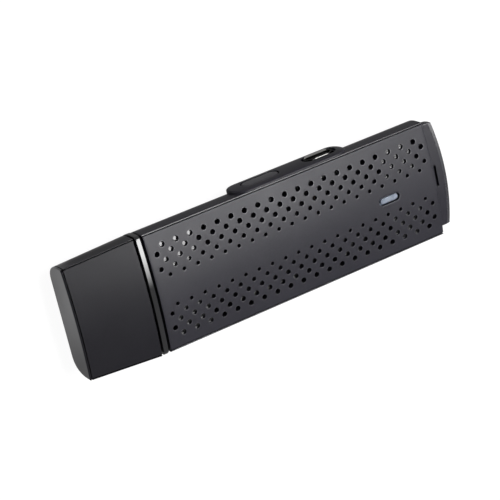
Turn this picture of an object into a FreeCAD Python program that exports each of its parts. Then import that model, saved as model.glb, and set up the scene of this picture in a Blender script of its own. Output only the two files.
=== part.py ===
# Wireless display dongle: a slim stick with a video plug under a pull-off cap at +X,
# an end piece at -X, and a side pod at -Y that carries a push button and a power port.
# Millimetres. +Z is up, Z = 0 is the flat underside, X runs along the stick.
import FreeCAD, Part
import math
import os
import re
import Sketcher
from FreeCAD import Placement, Rotation, Vector

doc = FreeCAD.newDocument("WirelessDisplayDongle")

# ---------------------------------------------------------------- dimensions
DIMS = [
    # case section, seen along X
    ("half_width", 14.36), ("widest_z", 6.3), ("side_radius", 9.0), ("corner_radius", 3.2),
    ("crown_top", 9.9), ("crown_radius", 93.79), ("wall_size", 1.6), ("floor_size", 1.6),
    # case along X
    ("case_x_min", -45.8), ("case_length", 76.2), ("end_wall", 1.6),
    # rim and cover plate
    ("rim_half_width", 14.07), ("cover_half_width", 13.97), ("cover_thickness", 1.0),
    ("ledge_z", 7.84), ("cover_length", 76.06), ("cover_pad_drop", 1.1), ("dimple_depth", 0.75), ("cover_pad_length", 8.6),
    ("cover_pad_width", 6.7), ("cover_pad_y", 8.2), ("cover_pad_x_plug", 22.7),
    ("cover_pad_x_end", -36.7), ("post_diameter", 2.6), ("post_y", 10.2), ("post_x_plug", 24.0),
    ("post_x_end", -37.0), ("end_rib_thickness", 1.2), ("end_rib_drop", 0.75),
    # perforation: rows at half-pitch spacing, staggered
    ("hole_pitch", 3.6), ("first_hole_x", 26.3), ("hole_dia_a", 0.92), ("hole_dia_b", 1.10),
    ("hole_dia_c", 1.22), ("hole_dia_d", 1.28), ("hole_dia_e", 1.32),
    # status window
    ("window_x", -32.35), ("window_length", 5.8), ("window_width", 2.0), ("lens_gap", 0.34),
    ("lens_recess", 0.3), ("lens_thickness", 1.3), ("lens_flange", 0.6), ("stem_length", 2.4),
    ("stem_width", 1.4), ("led_top_z", 4.3),
    # side pod, button and port centre line
    ("pod_x", -10.15), ("pod_length", 31.5), ("pod_height", 7.2), ("pod_face", 15.05),
    ("pod_round", 20.0), ("pod_end_round", 8.0), ("pod_end_x", -23.0), ("pod_edge_radius", 0.45), ("line_z", 4.9),
    ("button_x", -2.95), ("button_length", 9.5), ("button_height", 3.3), ("button_gap", 0.13),
    ("button_face", 14.99), ("button_depth", 2.23), ("button_flange_length", 11.4),
    ("button_flange_height", 4.8), ("button_flange_thickness", 0.7), ("button_stem_depth", 0.65),
    ("button_travel", 0.3),
    ("port_x", -19.06), ("port_width", 7.5), ("port_height", 2.5), ("port_sheet", 0.28),
    ("port_mouth", 15.26), ("port_depth", 5.41), ("flare_length", 0.4), ("flare_rise", 0.36),
    ("port_clip_x", 1.25), ("port_clip_z", 1.0),
    ("port_hole_width", 8.0), ("port_hole_height", 3.0), ("recess_width", 9.6),
    ("recess_height", 4.2), ("recess_depth", 0.4),
    # trim ring
    ("ring_x_min", 30.95), ("ring_length", 1.23), ("ring_half_width", 14.48), ("ring_crown", 10.02),
    ("ring_land", 0.55), ("ring_opening_width", 15.0), ("ring_opening_height", 5.6),
    # plug cap
    ("cap_x_min", 32.6), ("cap_length", 17.68), ("cap_half_width", 14.40), ("cap_crown", 9.94),
    ("cap_end_half_width", 13.5), ("cap_end_crown", 8.62), ("cap_end_widest_z", 5.6),
    ("cap_end_corner", 3.4), ("cap_end_side", 8.3), ("cap_pocket_width", 14.14),
    ("cap_pocket_height", 4.69), ("cap_pocket_depth", 12.7), ("cap_side_pocket_width", 3.6),
    ("cap_side_pocket_height", 5.2), ("cap_side_pocket_depth", 11.9), ("cap_side_pocket_y", 10.4),
    # end piece
    ("end_x_min", -50.28), ("end_half_width", 13.05), ("tongue_x", -45.85), ("tongue_end_x", -43.3),
    ("tongue_half_width", 12.67), ("end_crown", 8.1),
    ("end_bottom", 1.66), ("end_plan_radius", 80.0), ("end_edge_radius", 0.2), ("end_wall_size", 1.25),
    ("slot_x", -47.4), ("slot_width", 0.6), ("slot_length", 5.3),
    # video plug
    ("plug_z", 4.95), ("plug_width", 13.9), ("plug_height", 4.45), ("plug_side", 2.65),
    ("plug_bottom_width", 10.4), ("plug_sheet", 0.3), ("plug_x_min", 22.5), ("plug_length", 21.9),
    ("insulator_recess", 0.8), ("insulator_slot_width", 11.5), ("insulator_slot_height", 1.9),
    ("insulator_slot_depth", 7.2), ("contact_pitch", 1.0), ("contact_width", 0.4),
    ("contact_thickness", 0.2), ("contact_front", 43.0), ("contact_foot_x", 20.7),
    # board
    ("board_top", 3.6), ("board_thickness", 1.0), ("board_half_width", 11.4), ("board_x_min", -42.5),
    ("board_x_max", 27.0), ("board_notch_x", 21.8), ("board_notch_half_width", 8.0),
    ("screw_hole", 1.8), ("screw_pilot", 1.2), ("screw_ax", 15.5), ("screw_ay", -9.6),
    ("screw_bx", -33.6), ("screw_by", 9.6), ("screw_length", 2.2), ("screw_head", 2.8),
    ("screw_head_height", 0.6), ("screw_shank", 1.2), ("standoff", 4.0),
    # thermal stack
    ("shield_x", 1.0), ("shield_y", 1.8), ("shield_length", 20.0), ("shield_width", 18.0),
    ("shield_height", 2.0), ("shield_sheet", 0.2), ("pad_thickness", 0.9), ("spreader_thickness", 0.6),
    ("spreader_length", 30.0), ("spreader_width", 19.0),
    # underside label
    ("label_length", 38.0), ("label_width", 15.0), ("label_recess", 0.2), ("label_thickness", 0.1),
    # side travel switch
    ("switch_length", 6.0), ("switch_depth", 3.2), ("switch_height", 2.9), ("switch_front", 10.9),
    ("stem_size", 1.5), ("plunger_reach", 0.8),
    # shift that puts the origin under the middle of the whole envelope
    ("origin_shift_y", 0.39),
]
V = dict(DIMS)
sheet = doc.addObject("Spreadsheet::Sheet", "Dims")
for n, (alias, value) in enumerate(DIMS, 1):
    sheet.set("A%d" % n, alias)
    sheet.set("B%d" % n, str(value))
    sheet.setAlias("B%d" % n, alias)
doc.recompute()

WORD = re.compile(r"[a-z_]+[a-z]")


def ex(text):
    """A formula over the sheet's names, as the document's own expression."""
    return WORD.sub(lambda m: "Dims." + m.group(0) if m.group(0) in V else m.group(0), str(text))


def bind(obj, **formulas):
    for prop, text in formulas.items():
        obj.setExpression(prop.replace("__", "."), ex(text))
    return obj


def place(obj, x="0", y="0", z="0"):
    return bind(obj, Placement__Base__x=x, Placement__Base__y=y, Placement__Base__z=z)


def box(name, length, width, height, x="0", y="0", z="0"):
    b = doc.addObject("Part::Box", name)
    bind(b, Length=length, Width=width, Height=height)
    return place(b, x, y, z)


def mid_box(name, length, width, height, x="0", y="0", z="0"):
    """A box centred on x, y and z."""
    return box(name, length, width, height, "%s - (%s)/2" % (x, length),
               "%s - (%s)/2" % (y, width), "%s - (%s)/2" % (z, height))


def rod(name, radius, height, x="0", y="0", z="0", axis="Z"):
    c = doc.addObject("Part::Cylinder", name)
    turn = {"Z": Rotation(), "X": Rotation(Vector(0, 1, 0), 90), "Y": Rotation(Vector(1, 0, 0), -90)}
    c.Placement = Placement(Vector(), turn[axis])
    bind(c, Radius=radius, Height=height)
    return place(c, x, y, z)


def cut(name, base, tool):
    c = doc.addObject("Part::Cut", name)
    c.Base, c.Tool = base, tool
    return c


def fuse(name, *shapes):
    f = doc.addObject("Part::MultiFuse", name)
    f.Shapes = list(shapes)
    f.Refine = True
    return f


def common(name, *shapes):
    f = doc.addObject("Part::MultiCommon", name)
    f.Shapes = list(shapes)
    return f


def group(name, *shapes):
    g = doc.addObject("Part::Compound", name)
    g.Links = list(shapes)
    return g


ACROSS = Rotation(Vector(1, 1, 1), 120)  # sketch x along Y, sketch y along Z, normal along X


def val(text):
    """The number a name, a number or a sum or difference of names stands for."""
    total = 0.0
    for sign, word in re.findall(r"([+-]?)\s*([a-z_]+|\d+\.?\d*)", str(text)):
        number = V[word] if word in V else float(word)
        total += -number if sign == "-" else number
    return total


def section(name, at_x, half, widest, bottom, side, corner, crown):
    """Closed section across X: flat bottom, two-arc corners, upright sides, crowned top."""
    w, zw, zb, r2, r1, zc = (val(t) for t in (half, widest, bottom, side, corner, crown))
    rc = V["crown_radius"]
    yb = w - r2 + math.sqrt((r2 - r1) ** 2 - (zw - zb - r1) ** 2)
    edge = zc - rc + math.sqrt(rc * rc - w * w)
    turn = math.atan2(zb + r1 - zw, yb - (w - r2))
    top = math.asin(w / rc)
    sk = doc.addObject("Sketcher::SketchObject", name)
    sk.Placement = Placement(Vector(), ACROSS)
    place(sk, at_x)
    up = Vector(0, 0, 1)

    def arc(cy, cz, r, a, b):
        return Part.ArcOfCircle(Part.Circle(Vector(cy, cz, 0), up, r), a, b)

    sk.addGeometry([
        Part.LineSegment(Vector(-yb, zb, 0), Vector(yb, zb, 0)),
        arc(yb, zb + r1, r1, -math.pi / 2, turn),
        arc(w - r2, zw, r2, turn, 0),
        Part.LineSegment(Vector(w, zw, 0), Vector(w, edge, 0)),
        arc(0, zc - rc, rc, math.pi / 2 - top, math.pi / 2 + top),
        Part.LineSegment(Vector(-w, edge, 0), Vector(-w, zw, 0)),
        arc(r2 - w, zw, r2, math.pi, math.pi - turn),
        arc(-yb, zb + r1, r1, math.pi - turn, 3 * math.pi / 2),
    ], False)
    C = Sketcher.Constraint
    sk.addConstraint([
        C("Tangent", 0, 2, 1, 1), C("Tangent", 1, 2, 2, 1), C("Tangent", 2, 2, 3, 1),
        C("Coincident", 3, 2, 4, 1), C("Coincident", 4, 2, 5, 1), C("Tangent", 5, 2, 6, 1),
        C("Tangent", 6, 2, 7, 1), C("Tangent", 7, 2, 0, 1), C("Vertical", 3), C("Vertical", 5),
        C("Equal", 1, 7), C("Equal", 2, 6), C("Symmetric", 2, 3, 6, 3, -2),
        C("PointOnObject", 4, 3, -2), C("Horizontal", 0),
    ])
    marks = [("DistanceX", (-1, 1, 3, 1), w, half), ("DistanceY", (-1, 1, 2, 3), zw, widest),
             ("Radius", (2,), r2, side), ("Radius", (1,), r1, corner),
             ("Radius", (4,), rc, "crown_radius"),
             ("DistanceY", (4, 3, -1, 1), rc - zc, "crown_radius - (%s)" % crown)]
    if zb > 0:
        marks.append(("DistanceY", (-1, 1, 0, 1), zb, bottom))
    else:
        sk.addConstraint(C("PointOnObject", 0, 1, -1))
    for kind, where, number, formula in marks:
        index = sk.addConstraint(C(kind, *where, number))
        sk.setExpression("Constraints[%d]" % index, ex(formula))
    return sk


def sweep_x(name, sk, length):
    e = doc.addObject("Part::Extrusion", name)
    e.Base = sk
    e.DirMode = "Custom"
    e.Dir = Vector(1, 0, 0)
    e.Solid = True
    return bind(e, LengthFwd=length)


def stadium_y(name, length, height, depth, x, y, z):
    """A slot-shaped block with round ends, its axis along Y, centred on x and z, from y up."""
    radius = "(%s)/2" % height
    half = "((%s) - (%s))/2" % (length, height)
    return fuse(name,
                box(name + "_mid", "(%s) - (%s)" % (length, height), depth, height,
                    "%s - %s" % (x, half), y, "%s - %s" % (z, radius)),
                rod(name + "_a", radius, depth, "%s - %s" % (x, half), y, z, "Y"),
                rod(name + "_b", radius, depth, "%s + %s" % (x, half), y, z, "Y"))


def block(name, length, width, height, x, y, z, edge=None):
    """A body padded from a centred rectangle, with an optional chamfer round its top."""
    body = doc.addObject("PartDesign::Body", name)
    plane = next(f for f in body.Origin.OriginFeatures if f.Role == "XY_Plane")
    sk = body.newObject("Sketcher::SketchObject", name + "_sketch")
    sk.AttachmentSupport = [(plane, "")]
    sk.MapMode = "FlatFace"
    a, b = val(length) / 2, val(width) / 2
    c = [Vector(-a, -b, 0), Vector(a, -b, 0), Vector(a, b, 0), Vector(-a, b, 0)]
    for i in range(4):
        sk.addGeometry(Part.LineSegment(c[i], c[(i + 1) % 4]), False)
    C = Sketcher.Constraint
    sk.addConstraint([C("Coincident", i, 2, (i + 1) % 4, 1) for i in range(4)])
    sk.addConstraint([C("Horizontal", 0), C("Horizontal", 2), C("Vertical", 1), C("Vertical", 3),
                      C("Symmetric", 0, 1, 2, 1, -1, 1)])
    k = sk.addConstraint(C("DistanceX", 0, 1, 0, 2, 2 * a))
    sk.setExpression("Constraints[%d]" % k, ex(length))
    k = sk.addConstraint(C("DistanceY", 1, 1, 1, 2, 2 * b))
    sk.setExpression("Constraints[%d]" % k, ex(width))
    pad = body.newObject("PartDesign::Pad", name + "_pad")
    pad.Profile = sk
    bind(pad, Length=height)
    body.Tip = pad
    if edge:
        doc.recompute()
        top = max(f.CenterOfMass.z for f in pad.Shape.Faces)
        face = next(i for i, f in enumerate(pad.Shape.Faces, 1)
                    if abs(f.CenterOfMass.z - top) < 1e-6 and abs(f.normalAt(0, 0).z) > 0.9)
        ch = body.newObject("PartDesign::Chamfer", name + "_edge")
        ch.Base = (pad, ["Face%d" % face])
        bind(ch, Size=edge)
        body.Tip = ch
    return place(body, x, y, z)


nodes = {}


def node(name, obj):
    """Names a finished piece and shifts it into the final frame."""
    obj.Label = name
    bind(obj, Placement__Base__y="(%s) + origin_shift_y" % FRAME_Y.get(obj.Name, "0"))
    nodes[name] = obj
    return obj


FRAME_Y = {}


def keep_y(obj, y):
    FRAME_Y[obj.Name] = y
    return obj


def seat(name, obj, y):
    """A finished body or primitive that stands at its own y."""
    return node(name, keep_y(obj, y))


# ---------------------------------------------------------------- bottom case
outer = sweep_x("case_outer", section("case_outer_sketch", "case_x_min", "half_width", "widest_z",
                                      "0", "side_radius", "corner_radius", "crown_top"), "case_length")
inner = sweep_x("case_inner", section("case_inner_sketch", "case_x_min - 1",
                                      "half_width - wall_size", "widest_z", "floor_size",
                                      "side_radius - 1.5", "corner_radius - 1.4", "crown_top + 4"),
                "case_length - end_wall + 1")
pod_blank = stadium_y("pod_blank", "pod_length", "pod_height", "pod_face - 11 + 2", "pod_x",
                      "-(pod_face + 2)", "line_z")
pod_form = rod("pod_form", "pod_round", "pod_length + 4", "pod_x - pod_length/2 - 2",
               "pod_round - pod_face", "line_z", "X")
pod_plan = fuse("pod_plan",
                box("pod_plan_flat", "pod_length", "pod_face + 1", "20", "pod_end_x", "-(pod_face + 1)", "-4"),
                rod("pod_plan_round", "pod_end_round", "20", "pod_end_x", "pod_end_round - pod_face", "-4"))
pod_raw = common("pod_raw", common("pod_bowed", pod_blank, pod_form), pod_plan)
doc.recompute()
pod = doc.addObject("Part::Fillet", "pod")
pod.Base = pod_raw
pod.Edges = [(i, V["pod_edge_radius"], V["pod_edge_radius"])
             for i, e in enumerate(pod_raw.Shape.Edges, 1)
             if all(v.Point.y < -14.0 for v in e.Vertexes)]
body_solid = fuse("case_blank", outer, pod)
rim_cut = box("rim_cut", "case_length + 2", "2*rim_half_width", "6", "case_x_min - 1",
              "-rim_half_width", "ledge_z")
button_hole = stadium_y("button_hole", "button_length + 2*button_gap", "button_height + 2*button_gap",
                        "6", "button_x", "-(pod_face + 2)", "line_z")
port_hole = mid_box("port_hole", "port_hole_width", "8", "port_hole_height", "port_x",
                    "-(half_width)", "line_z")
port_recess = stadium_y("port_recess", "recess_width", "recess_height", "4 + recess_depth",
                        "port_x", "-(pod_face + 4)", "line_z")
plug_hole = mid_box("plug_hole", "8", "plug_width + 0.3", "plug_height + 0.3", "case_x_min + case_length",
                    "0", "plug_z")
button_seat = stadium_y("button_seat", "button_flange_length + 0.5", "button_flange_height + 0.5", "3",
                        "button_x", "-(half_width - wall_size)", "line_z")
label_pocket = mid_box("label_pocket", "label_length", "label_width", "2*label_recess", "-10", "0", "0")
posts = []
for k, (px, py) in enumerate([("post_x_plug", "post_y"), ("post_x_plug", "-post_y"),
                              ("post_x_end", "post_y"), ("post_x_end", "-post_y")]):
    posts.append(rod("case_post_%d" % k, "standoff/2", "board_top - board_thickness - floor_size + 0.3",
                     px, py, "floor_size - 0.3"))
for k, (px, py) in enumerate([("screw_ax", "screw_ay"), ("screw_bx", "screw_by")]):
    posts.append(cut("case_screw_post_%d" % k,
                     rod("case_screw_post_%d_rod" % k, "standoff/2",
                         "board_top - board_thickness - floor_size + 0.3", px, py, "floor_size - 0.3"),
                     rod("case_screw_post_%d_bore" % k, "screw_pilot/2", "3", px, py,
                         "board_top - board_thickness - 1")))
case_hollow = cut("case_hollow", body_solid, fuse("case_tools", inner, rim_cut, button_hole, port_hole,
                                                  port_recess, plug_hole, button_seat, label_pocket))
node("bottom_case", fuse("case_done", case_hollow, *posts))

# ---------------------------------------------------------------- top cover
crown_at = "crown_top - crown_radius"
cover_x = "case_x_min"
plate_blank = box("plate_blank", "cover_length", "2*cover_half_width", "4.4", cover_x,
                  "-cover_half_width", "6.6")
crown_out = rod("crown_out", "crown_radius", "cover_length + 2", cover_x + " - 1", "0", crown_at, "X")
crown_in = rod("crown_in", "crown_radius - cover_thickness", "cover_length + 2", cover_x + " - 1", "0",
               crown_at, "X")
plate = cut("plate", common("plate_top", plate_blank, crown_out), crown_in)

pins = []
rows = [("hole_dia_a", 1.0, 20, 0.0), ("hole_dia_b", 1.5, 21, 0.5), ("hole_dia_c", 2.0, 20, 0.0),
        ("hole_dia_d", 2.5, 21, 0.5), ("hole_dia_e", 3.0, 20, 0.0)]
for band, sign in (("front", "-"), ("back", "")):
    for r, (dia, reach, count, lag) in enumerate(rows):
        for k in range(count):
            pins.append(rod("pin_%s_%d_%02d" % (band, r, k), dia + "/2", "4",
                            "first_hole_x - %.1f*hole_pitch" % (k - lag),
                            "%s%.1f*hole_pitch" % (sign, reach), "7.2"))
window_cut = fuse("window_cut",
                  box("window_cut_mid", "window_length - window_width", "window_width", "4",
                      "window_x - (window_length - window_width)/2", "-window_width/2", "7.4"),
                  rod("window_cut_a", "window_width/2", "4", "window_x - (window_length - window_width)/2",
                      "0", "7.4"),
                  rod("window_cut_b", "window_width/2", "4", "window_x + (window_length - window_width)/2",
                      "0", "7.4"))
plate_holed = cut("plate_holed", plate, group("cover_tools", window_cut, *pins))
under = rod("under_crown", "crown_radius - cover_thickness", "cover_length + 4", cover_x + " - 2", "0",
            crown_at, "X")
pads = []
k = 0
for px in ("cover_pad_x_plug", "cover_pad_x_end"):
    for sign in ("", "-"):
        pads.append(mid_box("cover_pad_%d" % k, "cover_pad_length", "cover_pad_width", "4", px,
                            sign + "cover_pad_y", "crown_top - cover_thickness - cover_pad_drop + 1.75"))
        k += 1
dimple_floor = rod("dimple_floor", "crown_radius - dimple_depth", "cover_length + 4", cover_x + " - 2", "0",
                   crown_at, "X")
pads_trim = common("cover_pads", fuse("cover_pads_raw", *pads), dimple_floor)
feet = []
for k, (px, py) in enumerate([("post_x_plug", "post_y"), ("post_x_plug", "-post_y"),
                              ("post_x_end", "post_y"), ("post_x_end", "-post_y")]):
    feet.append(rod("cover_post_%d" % k, "post_diameter/2", "8 - board_top", px, py, "board_top"))
for k, px in enumerate(("12", "-12", "-30")):
    for side, py in (("a", "12.1"), ("b", "-12.1")):
        feet.append(mid_box("cover_hook_%d%s" % (k, side), "4.5", "0.9", "4", px, py, "8.1"))
feet.append(box("cover_end_rib", "end_rib_thickness", "2*(half_width - wall_size) - 0.3", "4", cover_x,
                "-(half_width - wall_size) + 0.15",
                "crown_top - cover_thickness - end_rib_drop - 1.06"))
feet_trim = common("cover_feet", fuse("cover_feet_raw", *feet), under)
end_relief = sweep_x("end_relief", section("end_relief_sketch", cover_x + " - 1", "tongue_half_width + 0.08",
                                           "widest_z", "end_bottom", "side_radius - 1.5",
                                           "corner_radius - 1.4", "end_crown + 0.05"), "end_rib_thickness + 2")
node("top_cover", fuse("cover_done", plate_holed, pads_trim, cut("cover_feet_cut", feet_trim, end_relief)))

# ---------------------------------------------------------------- trim ring
ring_band = sweep_x("ring_band", section("ring_sketch", "ring_x_min", "ring_half_width", "widest_z", "0",
                                         "side_radius + 0.1", "corner_radius + 0.05", "ring_crown"),
                    "ring_length")
ring_step = sweep_x("ring_step", section("ring_step_sketch", "ring_x_min - ring_land",
                                         "half_width - 1.1", "widest_z", "1.1", "side_radius - 1",
                                         "corner_radius - 0.9", "crown_top - 1.1"), "ring_land + 0.2")
ring_hole = mid_box("ring_hole", "8", "ring_opening_width", "ring_opening_height", "ring_x_min + 1", "0",
                    "plug_z")
node("trim_ring", cut("ring_done", fuse("ring_solid", ring_band, ring_step), ring_hole))

# ---------------------------------------------------------------- plug cap
cap_loft = doc.addObject("Part::Loft", "cap_loft")
cap_loft.Sections = [
    section("cap_mouth_sketch", "cap_x_min", "cap_half_width", "widest_z", "0", "side_radius",
            "corner_radius", "cap_crown"),
    section("cap_end_sketch", "cap_x_min + cap_length", "cap_end_half_width", "cap_end_widest_z", "0",
            "cap_end_side", "cap_end_corner", "cap_end_crown")]
cap_loft.Solid = True
cap_loft.Ruled = True
cap_tools = fuse("cap_tools",
                 box("cap_pocket", "cap_pocket_depth + 1", "cap_pocket_width", "cap_pocket_height",
                     "cap_x_min - 1", "-cap_pocket_width/2", "plug_z - cap_pocket_height/2"),
                 box("cap_pocket_l", "cap_side_pocket_depth + 1", "cap_side_pocket_width",
                     "cap_side_pocket_height", "cap_x_min - 1",
                     "cap_side_pocket_y - cap_side_pocket_width/2", "plug_z - cap_side_pocket_height/2 - 0.1"),
                 box("cap_pocket_r", "cap_side_pocket_depth + 1", "cap_side_pocket_width",
                     "cap_side_pocket_height", "cap_x_min - 1",
                     "-cap_side_pocket_y - cap_side_pocket_width/2", "plug_z - cap_side_pocket_height/2 - 0.1"))
node("plug_cap", cut("cap_done", cap_loft, cap_tools))

# ---------------------------------------------------------------- end piece
end_bar = sweep_x("end_bar", section("end_sketch", "end_x_min - 1", "end_half_width", "widest_z",
                                     "end_bottom", "side_radius - 1.5", "corner_radius - 1.4",
                                     "end_crown"), "tongue_x - end_x_min + 1")
end_tongue = sweep_x("end_tongue", section("end_tongue_sketch", "tongue_x - 0.2", "tongue_half_width", "widest_z",
                                           "end_bottom", "side_radius - 1.5", "corner_radius - 1.4",
                                           "end_crown"), "tongue_end_x - tongue_x + 0.2")
end_plan = rod("end_plan", "end_plan_radius", "20", "end_x_min + end_plan_radius", "0", "-4")
end_raw = common("end_raw", fuse("end_blank", end_bar, end_tongue), end_plan)
doc.recompute()
end_round = doc.addObject("Part::Fillet", "end_round")
end_round.Base = end_raw
end_round.Edges = [(i, V["end_edge_radius"], V["end_edge_radius"])
                   for i, e in enumerate(end_raw.Shape.Edges, 1)
                   if all(v.Point.x < -48.2 for v in e.Vertexes)]
end_hollow = sweep_x("end_hollow", section("end_hollow_sketch", "-48.1", "tongue_half_width - end_wall_size",
                                           "widest_z - 0.7", "end_bottom + end_wall_size", "side_radius - 2.5",
                                           "corner_radius - 2.2", "end_crown - end_wall_size"), "10")
end_slot = mid_box("end_slot", "slot_width", "slot_length", "6", "slot_x", "0", "end_crown")
node("end_piece", cut("end_done", end_round, fuse("end_tools", end_hollow, end_slot)))

# ---------------------------------------------------------------- status window
lens_top = fuse("lens_top",
                box("lens_mid", "window_length - window_width", "window_width - 2*lens_gap", "lens_thickness + 1",
                    "window_x - (window_length - window_width)/2", "-(window_width/2 - lens_gap)",
                    "crown_top - lens_recess - lens_thickness"),
                rod("lens_a", "window_width/2 - lens_gap", "lens_thickness + 1",
                    "window_x - (window_length - window_width)/2", "0",
                    "crown_top - lens_recess - lens_thickness"),
                rod("lens_b", "window_width/2 - lens_gap", "lens_thickness + 1",
                    "window_x + (window_length - window_width)/2", "0",
                    "crown_top - lens_recess - lens_thickness"))
lens_form = rod("lens_form", "crown_radius - lens_recess", "20", "window_x - 10", "0", crown_at, "X")
lens_flange = mid_box("lens_flange_plate", "window_length + 1.2", "window_width + 1.2", "lens_flange", "window_x",
                      "0", "crown_top - cover_thickness - 0.05 - lens_flange/2")
lens_stem = box("lens_stem", "stem_length", "stem_width", "crown_top - cover_thickness - 0.3 - led_top_z - 0.1",
                "window_x - stem_length/2", "-stem_width/2", "led_top_z + 0.1")
node("status_lens", fuse("lens_done", common("lens_head", lens_top, lens_form), lens_flange, lens_stem))
seat("status_led", block("led_body", "1.6", "0.9", "led_top_z - board_top", "window_x", "0", "board_top",
                         "0.1"), "0")

# ---------------------------------------------------------------- side button and switch
button_head = stadium_y("button_head", "button_length", "button_height", "button_depth + 0.2",
                        "button_x", "-button_face", "line_z")
button_flange = stadium_y("button_flange", "button_flange_length", "button_flange_height",
                          "button_flange_thickness", "button_x", "-(half_width - wall_size - 0.06)", "line_z")
button_stem = rod("button_stem", "1.0", "button_stem_depth + 0.3", "button_x",
                  "-(half_width - wall_size - 0.06) + button_flange_thickness - 0.3", "line_z", "Y")
node("side_button", fuse("button_done", button_head, button_flange, button_stem))

switch_body = mid_box("switch_block", "switch_length", "switch_depth", "switch_height", "button_x",
                      "-switch_front + switch_depth/2", "board_top + switch_height/2")
switch_bore = mid_box("switch_bore", "stem_size + 0.12", "1.6", "stem_size + 0.12", "button_x",
                      "-switch_front", "line_z")
node("switch_body", cut("switch_done", switch_body, switch_bore))
node("switch_plunger", mid_box("plunger", "stem_size", "plunger_reach", "stem_size", "button_x",
                               "-switch_front", "line_z"))
keep_y(nodes["switch_plunger"], "-switch_front - plunger_reach/2")
node("switch_plunger", nodes["switch_plunger"])
legs = []
for k, px in enumerate(("-3.3", "3.3")):
    legs.append(mid_box("switch_leg_%d" % k, "0.6", "1.4", "0.25", "button_x + %s" % px if k else "button_x - 3.3",
                        "-switch_front + 1.6", "board_top + 0.125"))
node("switch_legs", group("switch_legs_group", *legs))

# ---------------------------------------------------------------- power port
def port_section(name, grow, y):
    """The port's outline square to Y: wide flat side down, upper corners clipped, offset by grow."""
    a, b = V["port_width"] / 2, V["port_height"] / 2
    cx, cz, d = V["port_clip_x"], V["port_clip_z"], val(grow)
    slope = math.hypot(cx, cz)
    gx, gz = 1 - (slope - cx) / cz, 1 - (slope - cz) / cx
    half, rise = "(port_width/2 + (%s))" % grow, "(port_height/2 + (%s))" % grow
    nx, nz = "(port_clip_x + %.5f*(%s))" % (gx, grow), "(port_clip_z + %.5f*(%s))" % (gz, grow)
    ax, bz, sx, sz = a + d, b + d, cx + gx * d, cz + gz * d
    pts = [(-ax, -bz), (ax, -bz), (ax, bz - sz), (ax - sx, bz), (sx - ax, bz), (-ax, bz - sz)]
    form = [("-" + half, "-" + rise), (half, "-" + rise), (half, rise + " - " + nz),
            (half + " - " + nx, rise), (nx + " - " + half, rise), ("-" + half, rise + " - " + nz)]
    sk = doc.addObject("Sketcher::SketchObject", name)
    sk.Placement = Placement(Vector(), Rotation(Vector(1, 0, 0), 90))
    place(sk, "port_x", y, "line_z")
    n = len(pts)
    for i in range(n):
        p, q = pts[i], pts[(i + 1) % n]
        sk.addGeometry(Part.LineSegment(Vector(p[0], p[1], 0), Vector(q[0], q[1], 0)), False)
    for i in range(n):
        sk.addConstraint(Sketcher.Constraint("Coincident", i, 2, (i + 1) % n, 1))
    for i in range(n):
        for kind, number, text in (("DistanceX", pts[i][0], form[i][0]), ("DistanceY", pts[i][1], form[i][1])):
            if number > 0:
                m = sk.addConstraint(Sketcher.Constraint(kind, -1, 1, i, 1, number))
                sk.setExpression("Constraints[%d]" % m, ex(text))
            else:
                m = sk.addConstraint(Sketcher.Constraint(kind, i, 1, -1, 1, -number))
                sk.setExpression("Constraints[%d]" % m, "-(%s)" % ex(text))
    return sk


def loft(name, *sketches):
    f = doc.addObject("Part::Loft", name)
    f.Sections = list(sketches)
    f.Solid = True
    f.Ruled = True
    return f


back_y = "-(port_mouth - port_depth)"
neck_y = "-(port_mouth - flare_length)"
tube_out = loft("port_tube_out", port_section("port_sk_a", "0", back_y), port_section("port_sk_b", "0", neck_y))
flare_out = loft("port_flare_out", port_section("port_sk_c", "0", neck_y),
                 port_section("port_sk_d", "flare_rise", "-port_mouth"))
tube_in = loft("port_tube_in", port_section("port_sk_e", "-port_sheet", back_y + " + port_sheet - 0.8"),
               port_section("port_sk_f", "-port_sheet", neck_y))
flare_in = loft("port_flare_in", port_section("port_sk_g", "-port_sheet", neck_y),
                port_section("port_sk_i", "flare_rise - port_sheet", "-port_mouth"))
node("port_shell", cut("port_case", fuse("port_out", tube_out, flare_out), fuse("port_in", tube_in, flare_in)))
port_base = mid_box("port_base", "port_width - 2*port_sheet - 2.4", "1.0", "port_height - 2*port_sheet - 0.1",
                    "port_x", "-(port_mouth - port_depth) - 1.1", "line_z")
port_bar = mid_box("port_tongue_bar", "3.9", "3.2", "0.6", "port_x", "-(port_mouth - port_depth) - 3.1",
                   "line_z - 0.25")
node("port_tongue", fuse("port_tongue_done", port_base, port_bar))
leads = [mid_box("port_contact_%d" % k, "0.3", "3.0", "0.12", "port_x + (%d - 2)*0.65" % k,
                 "-(port_mouth - port_depth) - 3.15", "line_z + 0.11") for k in range(5)]
node("port_contacts", group("port_contacts_group", *leads))

# ---------------------------------------------------------------- video plug
AHEAD = Vector(1, 0, 0)


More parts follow.
